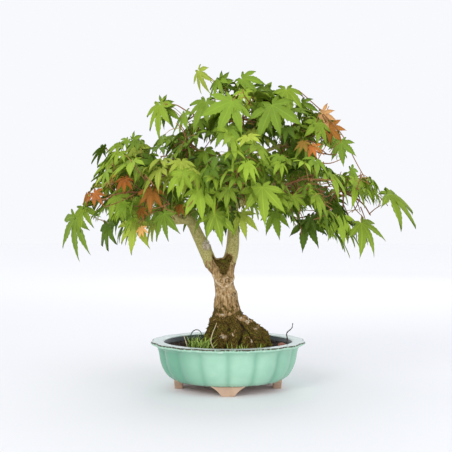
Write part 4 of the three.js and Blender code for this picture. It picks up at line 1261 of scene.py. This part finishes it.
WINDOWS = [(*gap, EVERY_DEPTH) for gap in SKY_GAPS + AIR_AROUND] + FREE_VIEWS
LOBE_ROOM = 1.5
LONG_LOBES = (-80, -40, 0, 40, 80)
TESTED_SHARES = (0.35, 0.6, 0.85)


def in_a_window(place):
    pixel_x, pixel_y = pixel_of(place)
    return any(
        place[1] < free_depth and math.hypot(pixel_x - x, pixel_y - y) < radius + LOBE_ROOM
        for x, y, radius, free_depth in WINDOWS
    )


def shows_in_a_window(hub, pointing, facing, length):
    """Whether any long lobe of a leaf would close a window."""
    side = np.cross(pointing, facing)
    for turn in map(math.radians, LONG_LOBES):
        lobe = math.cos(turn) * pointing + math.sin(turn) * side
        if any(in_a_window(hub + share * length * lobe) for share in TESTED_SHARES):
            return True
    return in_a_window(hub)


# %% Where a leaf can hang
LEAF_LENGTH, LEAF_SPACING = 27, 11
LENGTH_SHARES, HUB_SHARES = (0.6, 1.15), (0.35, 0.9)
LEAF_TURN, HEADING_SPREAD = 0.55, 0.9
DROOP, DROOP_WHEN_LOW, DROOP_SPREAD = 0.5, 0.35, 0.5
SMALL_SAG, LARGE_SAG = 0.25, 0.5
TRIES_PER_LEAF = 60
HUB_ROOM, LONGEST_STALK = 5, 32
OUTWARD_LEAN, FRONT_LEAN = 0.25, 1.2
GOLDEN_SHARE = (math.sqrt(5) - 1) / 2


def facing_of(pointing, outward, turn, front_lean=0.0):
    """The way the blade's upper side looks: up and outward, square to its middle lobe, and
    turned about that lobe."""
    facing = np.array([0, 0, 1.0]) + OUTWARD_LEAN * outward + np.array([0, -front_lean, 0])
    facing = unit(facing - pointing * (facing @ pointing))
    return facing * math.cos(turn) + np.cross(pointing, facing) * math.sin(turn)


def placed_leaves(all_twigs):
    """Leaves as (root, hub, pointing, facing, length, most sag, tint)."""
    for hub_x, hub_y, tip_x, tip_y, hub_depth, tip_depth, turned, tint in STANDING_OUT:
        hub = seen_at(hub_x, hub_y, hub_depth)
        span = seen_at(tip_x, tip_y, tip_depth) - hub
        root, *_ = nearest_on_twigs(all_twigs[distance_powers(hub).argmin()], hub)
        facing = facing_of(
            unit(span), unit(hub * [1, 1, 0]), math.radians(turned), FRONT_LEAN)
        yield root, hub, unit(span), facing, np.linalg.norm(span), SMALL_SAG, tint


def try_leaf(number, i, tries, hubs, twigs, dice):
    """One try for a leaf of a mass, or None where it finds no room."""
    centre, half = CENTRES[number], HALVES[number]
    way = spread_direction(int((i * GOLDEN_SHARE) % 1 * tries), tries)
    hub = centre + way * half * dice.uniform(*HUB_SHARES)
    turn = math.atan2(hub[1] - 0.6 * centre[1], hub[0] - 0.6 * centre[0])
    turn += dice.uniform(-HEADING_SPREAD, HEADING_SPREAD)
    low = float(np.clip((centre[2] - hub[2]) / half[2], -1, 1))
    droop = DROOP + DROOP_WHEN_LOW * low + dice.uniform(-DROOP_SPREAD, DROOP_SPREAD)
    length = LEAF_LENGTH * dice.uniform(*LENGTH_SHARES)
    if not keeps_own_side(number, hub) or not clear_of_limbs(hub, HUB_ROOM):
        return None
    if np.linalg.norm(np.array(hubs) - hub, axis=1).min() < LEAF_SPACING:
        return None
    outward = np.array([math.cos(turn), math.sin(turn), 0])
    pointing = outward * math.cos(droop) - np.array([0, 0, math.sin(droop)])
    if np.linalg.norm((hub + pointing * length - centre) / half) > 1:
        return None
    root, twig, away = nearest_on_twigs(twigs, hub)
    if away > LONGEST_STALK or (hub - root) @ pointing < -0.5 * away:
        return None
    facing = facing_of(pointing, outward, dice.gauss(0, LEAF_TURN))
    if shows_in_a_window(hub, pointing, facing, length):
        return None
    tint = spray_tint(hub, twig, number)
    return root, hub, pointing, facing, length, LARGE_SAG, tint


# %% Grow the crown
def grow_crown():
    dice = random.Random(17)
    all_twigs = [grow_twigs(i, dice) for i in range(len(MASSES))]
    leaves = list(placed_leaves(all_twigs))
    hubs = [hub for _, hub, *_ in leaves]
    for number, (name, (*_, wanted)) in enumerate(MASSES.items()):
        tries, before = wanted * TRIES_PER_LEAF, len(leaves)
        for i in range(tries):
            if len(leaves) - before == wanted:
                break
            leaf = try_leaf(number, i, tries, hubs, all_twigs[number], dice)
            if leaf:
                leaves.append(leaf)
                hubs.append(leaf[1])
        print(name, len(all_twigs[number]), "twigs,", len(leaves) - before, "leaves")
    return all_twigs, leaves


all_twigs, leaves = grow_crown()
print("crown:", sum(len(twigs) for twigs in all_twigs), "twigs and", len(leaves), "leaves")

# %% [markdown]
# ## Twigs and stalks
# New shoots of this maple are thin and reddish, and the leaf stalks are thinner still and
# pink where the light reaches them. Both are tubes with a slight bend, joined into one
# piece of each kind.

# %% Build twigs and stalks
SHOOT_BARK = plain_colour("shoot_bark", ("#7A4A30", "#A87B50"), 2.5, 0.7)
STALK_SKIN = plain_colour("leaf_stalk", ("#A9613F", "#A8A24C"), 6, 0.5)
TWIG_BEND, STALK_LIFT = 0.05, 0.12


def build_twigs():
    dice = random.Random(4)
    tubes = []
    for start, end, *radii in (twig for twigs in all_twigs for twig in twigs):
        bend = np.array([dice.gauss(0, 1) for _ in range(3)])
        middle = (start + end) / 2 + bend * TWIG_BEND * np.linalg.norm(end - start)
        tubes.append(tapered_tube([start, middle, end], 8, radii, 7))
    for picture_points, depth, radius in SHOWN_TWIGS:
        route = [seen_at(x, y, depth) for x, y in picture_points]
        twigs = all_twigs[distance_powers(route[0]).argmin()]
        route.insert(0, nearest_on_twigs(twigs, route[0])[0])
        tubes.append(tapered_tube(route, 30, (radius, 0.6 * radius), 7))
    settle(new_piece("twigs", tubes, SHOOT_BARK), "leaves", *MASSES)


def build_stalks():
    tubes = []
    for root, hub, *_blade in leaves:
        lift = np.array([0, 0, STALK_LIFT * np.linalg.norm(hub - root)])
        tubes.append(tapered_tube([root, (root + hub) / 2 + lift, hub], 6, (0.36, 0.25), 5))
    settle(new_piece("leaf_stalks", tubes, STALK_SKIN), "leaves", *MASSES)


build_twigs()
build_stalks()

# %% [markdown]
# ## Leaves
# A maple leaf is thin and soft, with a faint waxy shine. Spring leaves are lime, older ones
# deeper green, and those that the sun has scorched turn rust, red and orange. Every tint is
# a material and a piece of its own, because then its leaves can be picked and recoloured
# together. Each blade also carries a painted tone, a bit lighter or darker than the next,
# and a number that is highest on its veins, which are pale.

# %% Leaf material
LEAF_MOTTLE_MM = 5
VEIN_SHARPNESS = 16
DEEP_TONE, LIGHT_TONE, VEIN_TONE = 0.72, 1.22, 1.35


def leaf_skin(tint, hex_colour):
    material, tree, shader, place = new_material(
        f"maple_leaf_{tint}", Roughness=0.55, IOR=1.4, Specular_IOR_Level=0.25)
    deep, light, vein_colour = (
        (*np.minimum(np.array(linear(hex_colour)[:3]) * factor, 1), 1)
        for factor in (DEEP_TONE, LIGHT_TONE, VEIN_TONE)
    )
    tone, vein = (
        add_node(tree, "Attribute", "Fac", {}, attribute_name=name) for name in ("tone", "vein"))
    mottle = add_node(tree, "TexNoise", "Fac", {
        "Vector": place, "Scale": 1 / (LEAF_MOTTLE_MM * MM), "Detail": 4})
    toned = add_node(tree, "MixRGB", "Color", {"Fac": tone, "Color1": deep, "Color2": light})
    shading = add_node(tree, "MixRGB", "Color", {
        "Fac": mottle, "Color1": (0.84, 0.84, 0.84, 1), "Color2": (1, 1, 1, 1)})
    body = add_node(tree, "MixRGB", "Color", {
        "Fac": 1.0, "Color1": toned, "Color2": shading}, blend_type="MULTIPLY")
    thin_vein = add_node(tree, "Math", "Value", {0: vein, 1: VEIN_SHARPNESS}, operation="POWER")
    colour = add_node(tree, "MixRGB", "Color", {
        "Fac": thin_vein, "Color1": body, "Color2": vein_colour})
    tree.links.new(colour, shader.inputs["Base Color"])
    normal = add_node(tree, "Bump", "Normal", {
        "Height": mottle, "Strength": 0.3, "Distance": 0.4 * MM})
    tree.links.new(normal, shader.inputs["Normal"])
    return material


# %% Build the leaves
# A soft leaf tip may reach past the frame's box by this much at most
LOOSE_TIP = 5
BLADE_BENDS, LOBE_FOLDS, LEAST_SAG = (0.05, 0.28), (0.2, 1.1), 0.1
LOWEST, HIGHEST = np.array(cad_low) / MM - LOOSE_TIP, np.array(cad_high) / MM + LOOSE_TIP


def build_leaves(tint, hex_colour):
    dice = random.Random(tint)
    blades, tones = [], []
    for _root, hub, pointing, facing, length, most_sag, leaf_tint in leaves:
        if leaf_tint == tint:
            bends = [dice.uniform(*ends) for ends in (
                BLADE_BENDS, LOBE_FOLDS, (LEAST_SAG, most_sag))]
            corners = bent_leaf(hub, pointing, facing, length, *bends, dice)
            blades.append((np.clip(corners, LOWEST, HIGHEST), LEAF_FACES))
            tones.append(dice.random())
    piece = new_piece(f"leaves_{tint}", blades, leaf_skin(tint, hex_colour))
    paint(piece, "tone", np.repeat(tones, len(LEAF_CORNERS)))
    paint(piece, "vein", np.tile(1 - LEAF_CORNERS[:, 2], len(tones)))
    settle(piece, "leaves", *MASSES)


for tint, (hex_colour, _share) in TINTS.items():
    build_leaves(tint, hex_colour)

# %% [markdown]
# ## Floor, light and camera
# The studio is bright and almost shadowless: a large soft key light from the left, weaker
# ones from the front, the right and behind, and white light from all round. The floor is
# nearly white too, and a touch darker round the pot, so that its far edge melts into the
# background. The camera looks level, with a longish lens, at the height of the lower crown.

# %% Floor
FLOOR_HALF = 6000
LIT_REACH, UNLIT_REACH = 0.5, 2.2


def pale_floor():
    material, tree, shader, place = new_material("pale_floor", Roughness=0.9)
    away = add_node(tree, "VectorMath", "Value", {0: place}, operation="LENGTH")
    unlit = add_node(tree, "MapRange", "Result", {
        "Value": away, "From Min": LIT_REACH, "From Max": UNLIT_REACH},
        interpolation_type="SMOOTHSTEP")
    colour = add_node(tree, "MixRGB", "Color", {
        "Fac": unlit, "Color1": "#E3E4E7", "Color2": "#FEFEFF"})
    tree.links.new(colour, shader.inputs["Base Color"])
    return material


corners = [(x * FLOOR_HALF, y * FLOOR_HALF, 0) for x, y in ((-1, -1), (1, -1), (1, 1), (-1, 1))]
floor = new_piece("floor", [(corners, [(0, 1, 2, 3)])], pale_floor())
floor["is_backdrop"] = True
print("floor is", [round(side) for side in floor.dimensions], "m")

# %% Light
CROWN_MIDDLE = (0, 0, 0.18)
LIGHTS = [  # name, place, size, power, colour
    ("key_light", (-0.7, -1.15, 0.95), 0.7, 7.5, "#FFFDF8"),
    ("front_light", (0.35, -1.5, 0.3), 1.2, 4.5, "#FFFFFF"),
    ("fill_light", (1.2, -0.8, 0.7), 1.0, 3.6, "#F4F8FF"),
    ("back_light", (0.2, 1.2, 1.0), 1.0, 4, "#FFFFFF"),
]
for name, place, size, power, colour in LIGHTS:
    lamp = bpy.data.lights.new(name, "AREA")
    lamp.shape = "DISK"
    lamp.size = size
    lamp.energy = power
    lamp.color = linear(colour)[:3]
    light = bpy.data.objects.new(name, lamp)
    light.location = place
    aim = Vector(CROWN_MIDDLE) - Vector(place)
    light.rotation_euler = aim.to_track_quat("-Z", "Y").to_euler()
    bpy.context.collection.objects.link(light)

world = bpy.data.worlds.new("studio_white")
world.use_nodes = True
background = world.node_tree.nodes["Background"]
background.inputs["Color"].default_value = linear("#F8F9FD")
background.inputs["Strength"].default_value = 1.0
scene = bpy.context.scene
scene.world = world
scene.view_settings.view_transform = "Standard"
print("lights:", [name for name, *_ in LIGHTS])

# %% Camera
camera_data = bpy.data.cameras.new("photo_camera")
camera_data.lens = CAMERA_LENS
camera_data.sensor_width = CAMERA_SENSOR
camera = bpy.data.objects.new("photo_camera", camera_data)
camera.location = Vector(CAMERA_PLACE) * MM
camera.rotation_euler = (math.pi / 2, 0, 0)
bpy.context.collection.objects.link(camera)
scene.camera = camera
print("camera at", [round(v, 3) for v in camera.location])

# %% [markdown]
# ## Size
# The size of the dressed tree is printed. The dressed tree may not outgrow the frame.

# %% Sizes, and the end
low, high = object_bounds()
print("visual box:", [round(side / MM, 1) for side in high - low], "mm")
